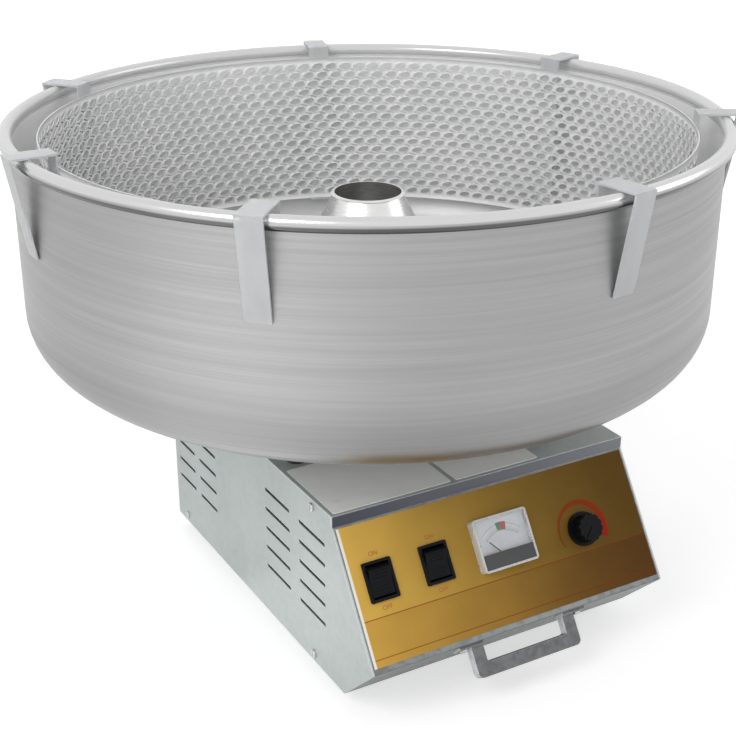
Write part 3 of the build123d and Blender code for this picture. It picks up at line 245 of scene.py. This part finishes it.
def bowl_finish_and_painted_shade(paint, z, inner, tint, roughness, height):
    """The bowl's polished rim with painted shade on the outside of its lower half, a low band painted darker
    as a painted reflection, and a dull underside.
    """
    bead_middle = bowl_high.z - bead_radius
    bead_foot = bead_middle - bead_radius
    band_middle, band_half, band_soft = bowl_low.z + 0.036, 0.012, 0.024
    underside_top, underside_low = bowl_low.z + 0.018, bowl_low.z + 0.004
    on_bead = paint.remap(z, bead_foot - 0.5 * mm, bead_foot + 0.5 * mm)
    upper = paint.remap(z, bead_middle - 1.4 * mm, bead_middle + 1.6 * mm)
    # Painted shade: the outside of the bead's lower half is painted dark; its inside stays pale like the
    # polished top.
    lower = paint.mix(inner, (0.13, 0.13, 0.13), (0.70, 0.70, 0.70))
    bead_with_painted_shade = paint.mix(upper, lower, (0.66, 0.66, 0.66))
    # Painted reflection: a band low on the wall is painted darker.
    painted_dark_band = paint.band(z, band_middle, band_half, band_soft)
    tint = paint.mix(paint.math("MULTIPLY", painted_dark_band, 0.4), tint, (0.24, 0.24, 0.24))
    tint = paint.mix(on_bead, tint, bead_with_painted_shade)
    duller = paint.remap(z, underside_top, underside_low, 1.0, 1.7)
    roughness = paint.math("MULTIPLY", roughness, duller)
    roughness = paint.math("MULTIPLY", roughness, paint.remap(on_bead, 0.0, 1.0, 1.0, 0.45))
    height = paint.math("MULTIPLY", height, paint.remap(on_bead, 0.0, 1.0, 1.0, 0.2))
    return tint, roughness, height


def cabinet_steel(name="cabinet_steel", painted_shade_lip=False, colour=(0.50, 0.55, 0.535), edge_wear_and_highlight=1.7):
    """Silver grey sheet with a faint green tint, a soft rolled grain and bright edges, part wear and part
    painted highlight.

    With the lip switch on, the folded front edge of the top cover is painted slate grey, darker to the left:
    painted shade.
    """
    paint = Paint(name)
    grain = paint.noise(0.5 * mm, (1.0, 26.0, 1.0))
    clouds = paint.noise(0.09)
    flakes = paint.noise(0.007, detail=1.0)
    tint = paint.mix(paint.remap(clouds, 0.3, 0.7), shade(colour, 0.88), shade(colour, 1.12))
    tint = paint.mix(paint.remap(flakes, 0.4, 0.6, 0.0, 0.16), tint, (0.66, 0.68, 0.70))
    tint = paint.mix(paint.remap(grain, 0.4, 0.62, 0.0, 0.14), tint, shade(colour, 0.6))
    # Painted shade: the top cover's front lip is painted slate grey, darkest at the left.
    if painted_shade_lip:
        facing_y = paint.axes(paint.facing())[1]
        to_right = paint.remap(paint.axes()[0], -0.15, 0.15)
        lip_painted_shade = paint.mix(to_right, (0.055, 0.060, 0.085), (0.20, 0.21, 0.23))
        tint = paint.mix(paint.remap(facing_y, -0.6, -0.9), tint, lip_painted_shade)
    normal, edges = paint.rounded(1.3 * mm)
    # Edges painted bright: part wear, part painted highlight.
    paint.set(
        Base_Color=paint.mix(edges, tint, shade(colour, edge_wear_and_highlight)),
        Metallic=0.35,
        Roughness=paint.remap(clouds, 0.3, 0.7, 0.36, 0.50),
        Normal=paint.bump(grain, 0.02 * mm, normal),
    )
    return paint.material


def overlay_film():
    """Gold film that turns orange brown to the right, with two thin lines, a red heat crescent and a painted
    highlight line along its left edge.
    """
    paint = Paint("overlay_film")
    gold, brown = (0.70, 0.43, 0.085), (0.10, 0.050, 0.006)
    orange, rust = (0.60, 0.34, 0.06), (0.09, 0.034, 0.006)
    ink = (0.20, 0.018, 0.006)
    x = paint.axes()[0]
    from_knob = paint.vector("SUBTRACT", paint.place, knob_centre)
    across = paint.axes(from_knob)[0]
    down = paint.vector("DOT_PRODUCT", from_knob, down_slope)
    clouds = paint.noise(0.05)
    sweep = paint.math("ADD", x, paint.remap(clouds, 0.3, 0.7, -0.012, 0.012))
    fade = paint.math("POWER", paint.remap(sweep, -0.15, 0.15, 1.0, 0.0), 1.6)
    warm = paint.math("SUBTRACT", 1.0, fade)
    upper = paint.mix(warm, gold, brown)
    lower = paint.mix(warm, orange, rust)
    first_line, second_line, line_half = 20.5 * mm, 53.0 * mm, 0.3 * mm
    below = paint.remap(down, first_line - line_half, first_line + line_half)
    tint = paint.mix(below, upper, lower)
    lines = [paint.band(down, line, line_half, line_half) for line in (first_line, second_line)]
    lines = paint.math("ADD", *lines)
    tint = paint.mix(paint.math("MULTIPLY", lines, 0.8), tint, ink)
    hatch = paint.add("ShaderNodeTexWave", wave_type="BANDS", bands_direction="X")
    hatch.inputs["Scale"].default_value = 190.0
    paint.feed(hatch.inputs["Vector"], paint.place)
    print_grain = paint.math("MULTIPLY", hatch.outputs[1], paint.math("MULTIPLY", below, 0.30))
    tint = paint.mix(print_grain, tint, paint.mix(warm, (0.62, 0.42, 0.10), (0.035, 0.014, 0.003)))
    up = paint.math("MULTIPLY", down, -1.0)
    clock = paint.math("ARCTAN2", across, up)
    reach = paint.length(across, up)
    crescent_radius, end = 24.5 * mm, radians(118)
    share = paint.remap(clock, -end, end)
    width = paint.remap(share, 0.0, 1.0, 0.5 * mm, 3.6 * mm)
    off_middle = paint.math("ABSOLUTE", paint.math("SUBTRACT", reach, crescent_radius))
    ring = paint.remap(paint.math("SUBTRACT", off_middle, width), 0.0, 0.5 * mm, 1.0, 0.0)
    ring = paint.math("MULTIPLY", ring, paint.band(clock, 0.0, end, 0.02))
    tint = paint.mix(ring, tint, paint.mix(share, (0.20, 0.050, 0.005), (0.32, 0.010, 0.004)))
    # Painted highlight: a pale line along the left edge stands in for the glint on the side panel's bent
    # edge.
    painted_highlight_line = paint.remap(x, overlay_left + 2.0 * mm, overlay_left + 2.6 * mm, 1.0, 0.0)
    tint = paint.mix(painted_highlight_line, tint, (0.90, 0.87, 0.80))
    fine = paint.noise(0.35 * mm)
    paint.set(
        Base_Color=paint.mix(paint.remap(fine, 0.4, 0.6, 0.0, 0.10), tint, shade(gold, 0.5)),
        Roughness=paint.remap(clouds, 0.3, 0.7, 0.34, 0.44),
        Specular_IOR_Level=0.08,
        Normal=paint.bump(fine, 0.01 * mm),
    )
    return paint.material


def meter_face():
    """White dial with a plain scale: two arcs, ticks, and a green and a red zone."""
    paint = Paint("meter_face")
    from_pivot = paint.vector("SUBTRACT", paint.place, needle_pivot)
    across = paint.axes(from_pivot)[0]
    up = paint.vector("DOT_PRODUCT", from_pivot, -down_slope)
    clock = paint.math("ARCTAN2", across, up)
    reach = paint.length(across, up)
    end, ticks = radians(42), 20
    inner_arc, outer_arc, arc_half = 24.0 * mm, 30.0 * mm, 0.12 * mm
    tick_middle, tick_half = 25.4 * mm, 1.4 * mm
    zone_middle, zone_half = 28.0 * mm, 3.4 * mm
    inside = paint.band(clock, 0.0, end, 0.01)
    arcs = [paint.band(reach, arc, arc_half, 0.1 * mm) for arc in (inner_arc, outer_arc)]
    arcs = paint.math("ADD", *arcs)
    part = paint.math("FRACT", paint.math("MULTIPLY_ADD", clock, ticks / (2 * end), ticks + 0.5))
    along_tick = paint.band(reach, tick_middle, tick_half, 0.1 * mm)
    tick = paint.math("MULTIPLY", paint.band(part, 0.5, 0.06, 0.04), along_tick)
    marks = paint.math("MULTIPLY", paint.math("ADD", arcs, tick), inside)
    zone = paint.band(reach, zone_middle, zone_half, 0.2 * mm)
    green = paint.math("MULTIPLY", zone, paint.band(clock, radians(-1.5), radians(4.5), 0.01))
    red = paint.math("MULTIPLY", zone, paint.band(clock, radians(8), radians(5), 0.01))
    paper = paint.noise(0.01)
    tint = paint.mix(paint.remap(paper, 0.3, 0.7), (0.62, 0.65, 0.68), (0.70, 0.72, 0.75))
    tint = paint.mix(green, tint, (0.03, 0.22, 0.08))
    tint = paint.mix(red, tint, (0.50, 0.03, 0.03))
    tint = paint.mix(paint.math("MULTIPLY", marks, 0.75), tint, (0.10, 0.11, 0.16))
    paint.set(Base_Color=tint, Roughness=0.45, Normal=paint.bump(paint.noise(0.3 * mm), 0.01 * mm))
    return paint.material


def net_plastic():
    """White netting that lets a little light through."""
    paint = Paint("net_plastic")
    clouds = paint.noise(0.05)
    fine = paint.noise(0.8 * mm)
    tint = paint.mix(paint.remap(clouds, 0.3, 0.7), (0.84, 0.85, 0.85), (0.93, 0.93, 0.93))
    paint.set(
        Base_Color=tint,
        Roughness=paint.remap(fine, 0.3, 0.7, 0.32, 0.48),
        Subsurface_Weight=0.25,
        Subsurface_Radius=(0.002, 0.002, 0.002),
        Subsurface_Scale=1.0,
        Normal=paint.bump(fine, 0.04 * mm),
    )
    return paint.material


def frosted(name, colour, rough, through):
    """Moulded plastic that light passes through softly."""
    paint = Paint(name)
    flow = paint.noise(0.012, (1.0, 1.0, 3.0))
    fine = paint.noise(0.5 * mm)
    normal, edges = paint.rounded(0.5 * mm)
    tint = paint.mix(paint.remap(flow, 0.3, 0.7), shade(colour, 0.95), shade(colour, 1.04))
    # Edges painted a little paler: painted highlight.
    paint.set(
        Base_Color=paint.mix(edges, tint, shade(colour, 1.1)),
        Roughness=paint.remap(flow, 0.3, 0.7, rough * 0.85, rough * 1.15),
        Transmission_Weight=through,
        IOR=1.46,
        Normal=paint.bump(fine, 0.01 * mm, normal),
    )
    return paint.material


def windings():
    """Enamelled copper: fine turns, with darker varnish in the hollows."""
    paint = Paint("copper")
    turns = paint.noise(0.7 * mm, (1.0, 1.0, 22.0))
    tint = paint.mix(paint.remap(turns, 0.35, 0.65), (0.20, 0.065, 0.028), (0.72, 0.33, 0.16))
    paint.set(
        Base_Color=tint,
        Metallic=0.8,
        Roughness=paint.remap(turns, 0.3, 0.7, 0.5, 0.28),
        Normal=paint.bump(turns, 0.3 * mm),
    )
    return paint.material


def handle_steel():
    """Dark grey paint on the handle, with painted highlight: the faces that look left are painted near white,
    and the edges paler.
    """
    paint = Paint("handle_steel")
    # Painted highlight on the faces that look left, broken up by a noise.
    left_highlight_mask = paint.remap(paint.axes(paint.facing())[0], -0.5, -0.8)
    wear_and_highlight_noise = paint.noise(0.006)
    side = paint.math("MULTIPLY", left_highlight_mask, paint.remap(wear_and_highlight_noise, 0.3, 0.5, 0.75, 1.0))
    fine = paint.noise(0.5 * mm, (1.0, 8.0, 1.0))
    front = paint.mix(paint.remap(wear_and_highlight_noise, 0.35, 0.65), (0.12, 0.122, 0.128), (0.18, 0.183, 0.19))
    normal, edges = paint.rounded(0.8 * mm)
    # Edges painted paler: painted highlight.
    tint = paint.mix(edges, paint.mix(side, front, (0.82, 0.83, 0.84)), (0.60, 0.61, 0.62))
    paint.set(
        Base_Color=tint,
        Metallic=0.3,
        Roughness=paint.remap(wear_and_highlight_noise, 0.3, 0.7, 0.32, 0.44),
        Normal=paint.bump(fine, 0.02 * mm, normal),
    )
    return paint.material


def heated_alloy():
    """Heater strip tinted brown and blue by heat."""
    paint = Paint("heater_alloy")
    heat = paint.noise(0.012)
    fine = paint.noise(0.4 * mm, (1.0, 1.0, 8.0))
    tint = paint.mix(paint.remap(heat, 0.35, 0.65), (0.30, 0.20, 0.12), (0.20, 0.21, 0.27))
    paint.set(Base_Color=tint, Metallic=1.0, Roughness=0.42, Normal=paint.bump(fine, 0.02 * mm))
    return paint.material


materials = {
    "cabinet_steel": cabinet_steel(),
    "zinc_steel": surface("zinc_steel", (0.56, 0.57, 0.58), 0.32, Metallic=0.9, grain=0.4 * mm),
    # The bowl's inner faces are painted lighter (inside=2.4): painted light.
    "bowl_aluminium": turned_metal(
        "bowl_aluminium", (0.385, 0.385, 0.385), 0.40, 0.9 * mm, 0.006,
        inside=2.4, dull=0.75, tone=0.06, finish=bowl_finish_and_painted_shade
    ),
    # The head's inner faces are painted darker (inside=0.42): painted shade.
    "head_aluminium": turned_metal(
        "head_aluminium", (0.76, 0.76, 0.75), 0.26, 0.5 * mm, 0.006, inside=0.42, dull=0.6, tone=0.05
    ),
    "net_plastic": net_plastic(),
    "clip_plastic": frosted("clip_plastic", (0.76, 0.77, 0.78), 0.42, 0.42),
    "post_paint": surface(
        "post_paint", (0.035, 0.036, 0.038), 0.38, edge_wear_and_highlight=2.2, grain=0.9 * mm, depth=0.05 * mm
    ),
    "rubber_black": surface("rubber_black", (0.026, 0.026, 0.027), 0.72, edge_wear_and_highlight=1.8, depth=0.06 * mm),
    "overlay_film": overlay_film(),
    "label_film": surface("label_film", (0.93, 0.93, 0.91), 0.30, tone=0.03, edge=0.2 * mm, edge_wear_and_highlight=1.03),
    "strip_film": surface("strip_film", (0.78, 0.66, 0.04), 0.30, tone=0.05, edge=0.2 * mm, edge_wear_and_highlight=1.1),
    "black_plastic": surface(
        "black_plastic", (0.004, 0.0045, 0.006), 0.36, edge_wear_and_highlight=3.0, depth=0.03 * mm, Specular_IOR_Level=0.12
    ),
    "clear_plastic": frosted("clear_plastic", (1.0, 1.0, 1.0), 0.03, 1.0),
    "grey_plastic": surface("grey_plastic", (0.05, 0.052, 0.054), 0.38, edge_wear_and_highlight=1.2),
    "dial_white": meter_face(),
    "needle_black": surface("needle_black", (0.02, 0.02, 0.02), 0.5, edge=0.1 * mm),
    "handle_steel": handle_steel(),
    "shaft_steel": turned_metal("shaft_steel", (0.50, 0.50, 0.51), 0.28, 0.5 * mm, 0.004, tone=0.06),
    "motor_paint": surface(
        "motor_paint", (0.11, 0.115, 0.12), 0.42, edge_wear_and_highlight=1.8, grain=0.8 * mm, depth=0.05 * mm
    ),
    "copper": windings(),
    "brass": turned_metal("brass", (0.66, 0.47, 0.19), 0.28, 0.4 * mm, 0.003, tone=0.06),
    "carbon": surface("carbon", (0.035, 0.035, 0.038), 0.62, edge_wear_and_highlight=1.6),
    "phenolic": surface("phenolic", (0.15, 0.075, 0.036), 0.46, tone=0.18, edge_wear_and_highlight=1.4, stretch=(6.0, 1.0, 1.0)),
    "mica": surface("mica", (0.44, 0.39, 0.28), 0.48, tone=0.22, blotch=0.006, depth=0.08 * mm),
    "heater_alloy": heated_alloy(),
    "white_plastic": surface("white_plastic", (0.78, 0.77, 0.72), 0.36, tone=0.04, edge_wear_and_highlight=1.08),
    "wire_red": surface("wire_red", (0.46, 0.028, 0.022), 0.30, edge_wear_and_highlight=1.2, Coat_Weight=0.3),
}
case_plastic = frosted("case_plastic", (0.86, 0.86, 0.83), 0.28, 0.35)
for part in frame["record"]["subparts"]:
    nodes[part["node"]].material_slots[0].material = materials[part["material_slot"]]
nodes["meter_case"].material_slots[0].material = case_plastic
# The top cover's front lip gets painted shade.
nodes["top_cover"].material_slots[0].material = cabinet_steel("cover_steel", painted_shade_lip=True)
# A darker copy of the cabinet steel for the control panel and chin: painted shade.
painted_shade_steel = cabinet_steel("painted_shade_steel", colour=(0.20, 0.215, 0.21), edge_wear_and_highlight=1.3)
for name in ("control_panel", "chin_panel"):
    nodes[name].material_slots[0].material = painted_shade_steel


def piece(name, vertices, faces, slot):
    """A new smooth mesh object with the material of one of the record's slots."""
    mesh = bpy.data.meshes.new(name)
    mesh.from_pydata(vertices, [], faces)
    mesh.polygons.foreach_set("use_smooth", [True] * len(faces))
    mesh.materials.append(materials[slot])
    mesh.update()
    made = in_scene(name, mesh)
    return made


# ---- The net: staggered slanted openings in a ring of white plastic ----
net_cells = 121
net_rows = 16
cell_steps = 6           # the ring is laid out in sixths of a cell
row_shift = 2            # each row starts a third of a cell further round
net_band = 4.0 * mm
hole_half_width, hole_half_height, hole_slant = 5.3 * mm, 3.0 * mm, -0.8
hole_points = 12
strand_thick, hole_edge_thick, rim_thick = 2.0 * mm, 0.9 * mm, 1.2 * mm


class Netting:
    """Collects the vertices of both faces of the net. Shared points are made once."""

    def __init__(self, radius):
        self.radius = radius
        self.vertices = []
        self.faces = []
        self.known = {}

    def corner(self, step, height, thick):
        """The vertex pair at a step round the ring and a height: outer index, inner index."""
        steps = cell_steps * net_cells
        key = (step % steps, round(height / (0.01 * mm)))
        if key not in self.known:
            self.known[key] = self.pair(2 * pi * step / steps, height, thick)
        return self.known[key]

    def pair(self, angle, height, thick):
        first = len(self.vertices)
        for radius in (self.radius + thick / 2, self.radius - thick / 2):
            self.vertices.append((radius * cos(angle), radius * sin(angle), height))
        return first, first + 1

    def strip(self, first, second, third, fourth):
        """A piece of netting between four vertex pairs, on both faces."""
        self.faces.append((first[0], second[0], third[0], fourth[0]))
        self.faces.append((fourth[1], third[1], second[1], first[1]))

    def wall(self, first, second):
        """The face that joins the outer and inner sides along an edge."""
        self.faces.append((first[0], first[1], second[1], second[0]))


def cell_outline(row, column, low, pitch):
    """Twelve points round one six-sided cell, from its right side round by the top: step, height.

    The first row ends in a straight edge below, and the last row in one above.
    """
    middle = low + pitch * (row + 0.5)
    step = cell_steps * column + row_shift * row
    pointed, straight = (pitch / 3, pitch * 2 / 3), (pitch / 2, pitch / 2)
    up, top = straight if row == net_rows - 1 else pointed
    down, foot = straight if row == 0 else pointed
    heights = (
        0.0, up, (up + top) / 2, top, (up + top) / 2, up,
        0.0, -down, -(down + foot) / 2, -foot, -(down + foot) / 2, -down,
    )
    steps = (3, 3, 2, 1, -1, -3, -3, -3, -2, -1, 1, 3)
    return [(step + q, middle + h) for q, h in zip(steps, heights)]


def netting():
    low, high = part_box("floss_net")
    radius = high.x - rim_thick / 2
    net = Netting(radius)
    bottom, top = low.z + net_band, high.z - net_band
    pitch = (top - bottom) / net_rows
    for row in range(net_rows):
        for column in range(net_cells):
            outline = [net.corner(q, h, strand_thick) for q, h in cell_outline(row, column, bottom, pitch)]
            middle = (column + row * row_shift / cell_steps) * 2 * pi / net_cells
            height = bottom + pitch * (row + 0.5)
            hole = []
            for index in range(hole_points):
                turn = 2 * pi * index / hole_points
                rise = hole_half_height * sin(turn)
                shift = hole_half_width * cos(turn) + hole_slant * rise
                hole.append(net.pair(middle + shift / radius, height + rise, hole_edge_thick))
            for index in range(hole_points):
                following = (index + 1) % hole_points
                net.strip(outline[index], outline[following], hole[following], hole[index])
                net.wall(hole[index], hole[following])
    add_edge(net, top, high.z, net_rows - 1, False)
    add_edge(net, bottom, low.z, 0, True)
    return piece("floss_netting", net.vertices, net.faces, "net_plastic")


def add_edge(net, inside, outside, row, flipped):
    """The plain band along the top or bottom of the net, which meets the cells of a row."""
    offsets = (-3, -2, -1, 1) if flipped else (-3, -1, 1, 2)
    starts = [cell_steps * column + row_shift * row for column in range(net_cells)]
    places = [start + offset for start in starts for offset in offsets]
    for index, start in enumerate(places):
        end = places[(index + 1) % len(places)]
        near, far = net.corner(start, inside, strand_thick), net.corner(end, inside, strand_thick)
        end_near, end_far = net.corner(start, outside, rim_thick), net.corner(end, outside, rim_thick)
        if flipped:
            net.strip(far, near, end_near, end_far)
            net.wall(end_far, end_near)
        else:
            net.strip(near, far, end_far, end_near)
            net.wall(end_near, end_far)


net = netting()
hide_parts("floss_net")
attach(net, "net")


# ---- Plain ON and OFF beside each rocker ----
print_ink = surface(
    "print_ink", (0.42, 0.10, 0.012), 0.45, tone=0.10, grain=0.4 * mm, edge=0.05 * mm, edge_wear_and_highlight=1.05
)
letter_height = 5.5 * mm
letter_reach = 23.0 * mm       # from the rocker's middle to the word
letter_middle = 0.45 * mm      # above the panel: the film is 0.4 mm thick


def lettering(name, words, centre):
    """Words printed on the overlay, read from the front, as a thin raised mesh."""
    curve = bpy.data.curves.new(name, "FONT")
    curve.body = words
    curve.size = letter_height
    curve.align_x = "CENTER"
    curve.align_y = "CENTER"
    curve.extrude = 0.05 * mm
    source = bpy.data.objects.new(name + "_curve", curve)
    mesh = bpy.data.meshes.new_from_object(source)
    bpy.data.objects.remove(source)
    bpy.data.curves.remove(curve)
    across, upward, outward = Vector((1.0, 0.0, 0.0)), -down_slope, -inward
    for vertex in mesh.vertices:
        x, y, z = vertex.co
        vertex.co = centre + across * x + upward * y + outward * z
    mesh.materials.clear()
    mesh.materials.append(print_ink)
    made = in_scene(name, mesh)
    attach(made, "base")


for switch in ("power_switch", "heat_switch"):
    pivot = Vector(joints[switch]["pos_m"])
    on_film = pivot + inward * ((knob_centre - pivot).dot(inward) - letter_middle)
    for word, way in (("ON", -1.0), ("OFF", 1.0)):
        place = on_film + down_slope * letter_reach * way
        lettering(switch.replace("switch", word.lower()), word, place)


# ---- Studio: camera, light and floor ----
def camera():
    """The photograph's view. The focal length is in pixels of the 736 pixel frame."""
    frame_pixels, focal_pixels, sensor = 736, 1400, 36.0
    data = bpy.data.cameras.new("camera")
    data.sensor_width = sensor
    data.lens = sensor * focal_pixels / frame_pixels
    data.clip_start, data.clip_end = 0.01, 50.0
    pitch_down, heading = 0.4117, radians(29.57)
    made = in_scene("camera", data)
    made.location = (-0.6247, -1.1011, 0.7522)
    made.rotation_euler = (pi / 2 - pitch_down, 0.0, -heading)
    bpy.context.scene.camera = made


def lamp(name, place, target, size, power, shiny=True):
    """A round soft light. One that isn't shiny leaves no highlight on metal."""
    data = bpy.data.lights.new(name, "AREA")
    data.shape = "DISK"
    data.size = size
    data.energy = power
    made = in_scene(name, data)
    made.location = place
    made.rotation_euler = (Vector(target) - Vector(place)).to_track_quat("-Z", "Y").to_euler()
    made.visible_glossy = shiny


def studio_world(level):
    """White for the camera and in reflections, and a softer even light on everything."""
    world = bpy.data.worlds.new("studio")
    world.use_nodes = True
    tree = world.node_tree
    tree.nodes.clear()
    path = tree.nodes.new("ShaderNodeLightPath")
    seen = tree.nodes.new("ShaderNodeMath")
    seen.operation = "MAXIMUM"
    both = tree.nodes.new("ShaderNodeMath")
    both.operation = "MAXIMUM"
    tree.links.new(path.outputs["Is Camera Ray"], seen.inputs[0])
    tree.links.new(path.outputs["Is Glossy Ray"], seen.inputs[1])
    tree.links.new(seen.outputs[0], both.inputs[0])
    tree.links.new(path.outputs["Is Transmission Ray"], both.inputs[1])
    strength = tree.nodes.new("ShaderNodeMapRange")
    strength.inputs["To Min"].default_value = level
    strength.inputs["To Max"].default_value = 1.0
    tree.links.new(both.outputs[0], strength.inputs["Value"])
    background = tree.nodes.new("ShaderNodeBackground")
    background.inputs["Color"].default_value = (1.0, 1.0, 1.0, 1.0)
    tree.links.new(strength.outputs[0], background.inputs["Strength"])
    output = tree.nodes.new("ShaderNodeOutputWorld")
    tree.links.new(background.outputs[0], output.inputs["Surface"])
    bpy.context.scene.world = world


def floor():
    """A pale floor that keeps shadows. Part of its white is its own glow, for the camera and in reflections.

    In reflections it is brighter on one side and darker on another, which the bowl's wall mirrors.
    """
    paint = Paint("studio_floor")
    path = paint.add("ShaderNodeLightPath")
    seen = paint.math("MAXIMUM", path.outputs["Is Camera Ray"], path.outputs["Is Transmission Ray"])
    x, y = paint.axes()[:2]
    away = paint.length(x, y)
    plain = paint.math("MULTIPLY", seen, paint.remap(away, 0.7, 2.5, 0.52, 0.76))
    clock = paint.math("ARCTAN2", y, x)
    bright = paint.math("MULTIPLY", paint.band(clock, radians(-158), radians(14), radians(30)), 0.36)
    dark = paint.math("MULTIPLY", paint.band(clock, radians(-112), radians(8), radians(28)), 0.18)
    dark = paint.math("MULTIPLY", dark, paint.remap(away, 1.2, 2.2, 1.0, 0.6))
    reflected = paint.math("ADD", 0.50, paint.math("SUBTRACT", bright, dark))
    glow = paint.math("MAXIMUM", plain, paint.math("MULTIPLY", path.outputs["Is Glossy Ray"], reflected))
    paint.set(
        Base_Color=(0.66, 0.66, 0.66, 1.0),
        Roughness=0.9,
        Specular_IOR_Level=0.0,
        Emission_Color=(1.0, 1.0, 1.0, 1.0),
        Emission_Strength=glow,
    )
    radius, sides, height = 12.0, 96, -0.2 * mm
    turns = [2 * pi * side / sides for side in range(sides)]
    corners = [(radius * cos(turn), radius * sin(turn), height) for turn in turns]
    mesh = bpy.data.meshes.new("studio_floor")
    mesh.from_pydata(corners, [], [tuple(range(sides))])
    mesh.materials.append(paint.material)
    made = in_scene("studio_floor", mesh)


camera()
middle, lower_middle = (0.0, 0.0, 0.25), (0.0, 0.0, 0.17)
lamp("key", (-2.1, -0.9, 2.2), middle, 1.6, 28.0)
lamp("fill", (2.3, -1.0, 1.4), middle, 1.6, 10.0)
lamp("back", (0.4, 2.2, 2.4), middle, 1.8, 20.0, shiny=False)
lamp("low", (-1.2, -2.1, 1.15), lower_middle, 0.9, 13.0, shiny=False)
studio_world(0.50)
floor()
bpy.context.scene.view_settings.view_transform = "Standard"
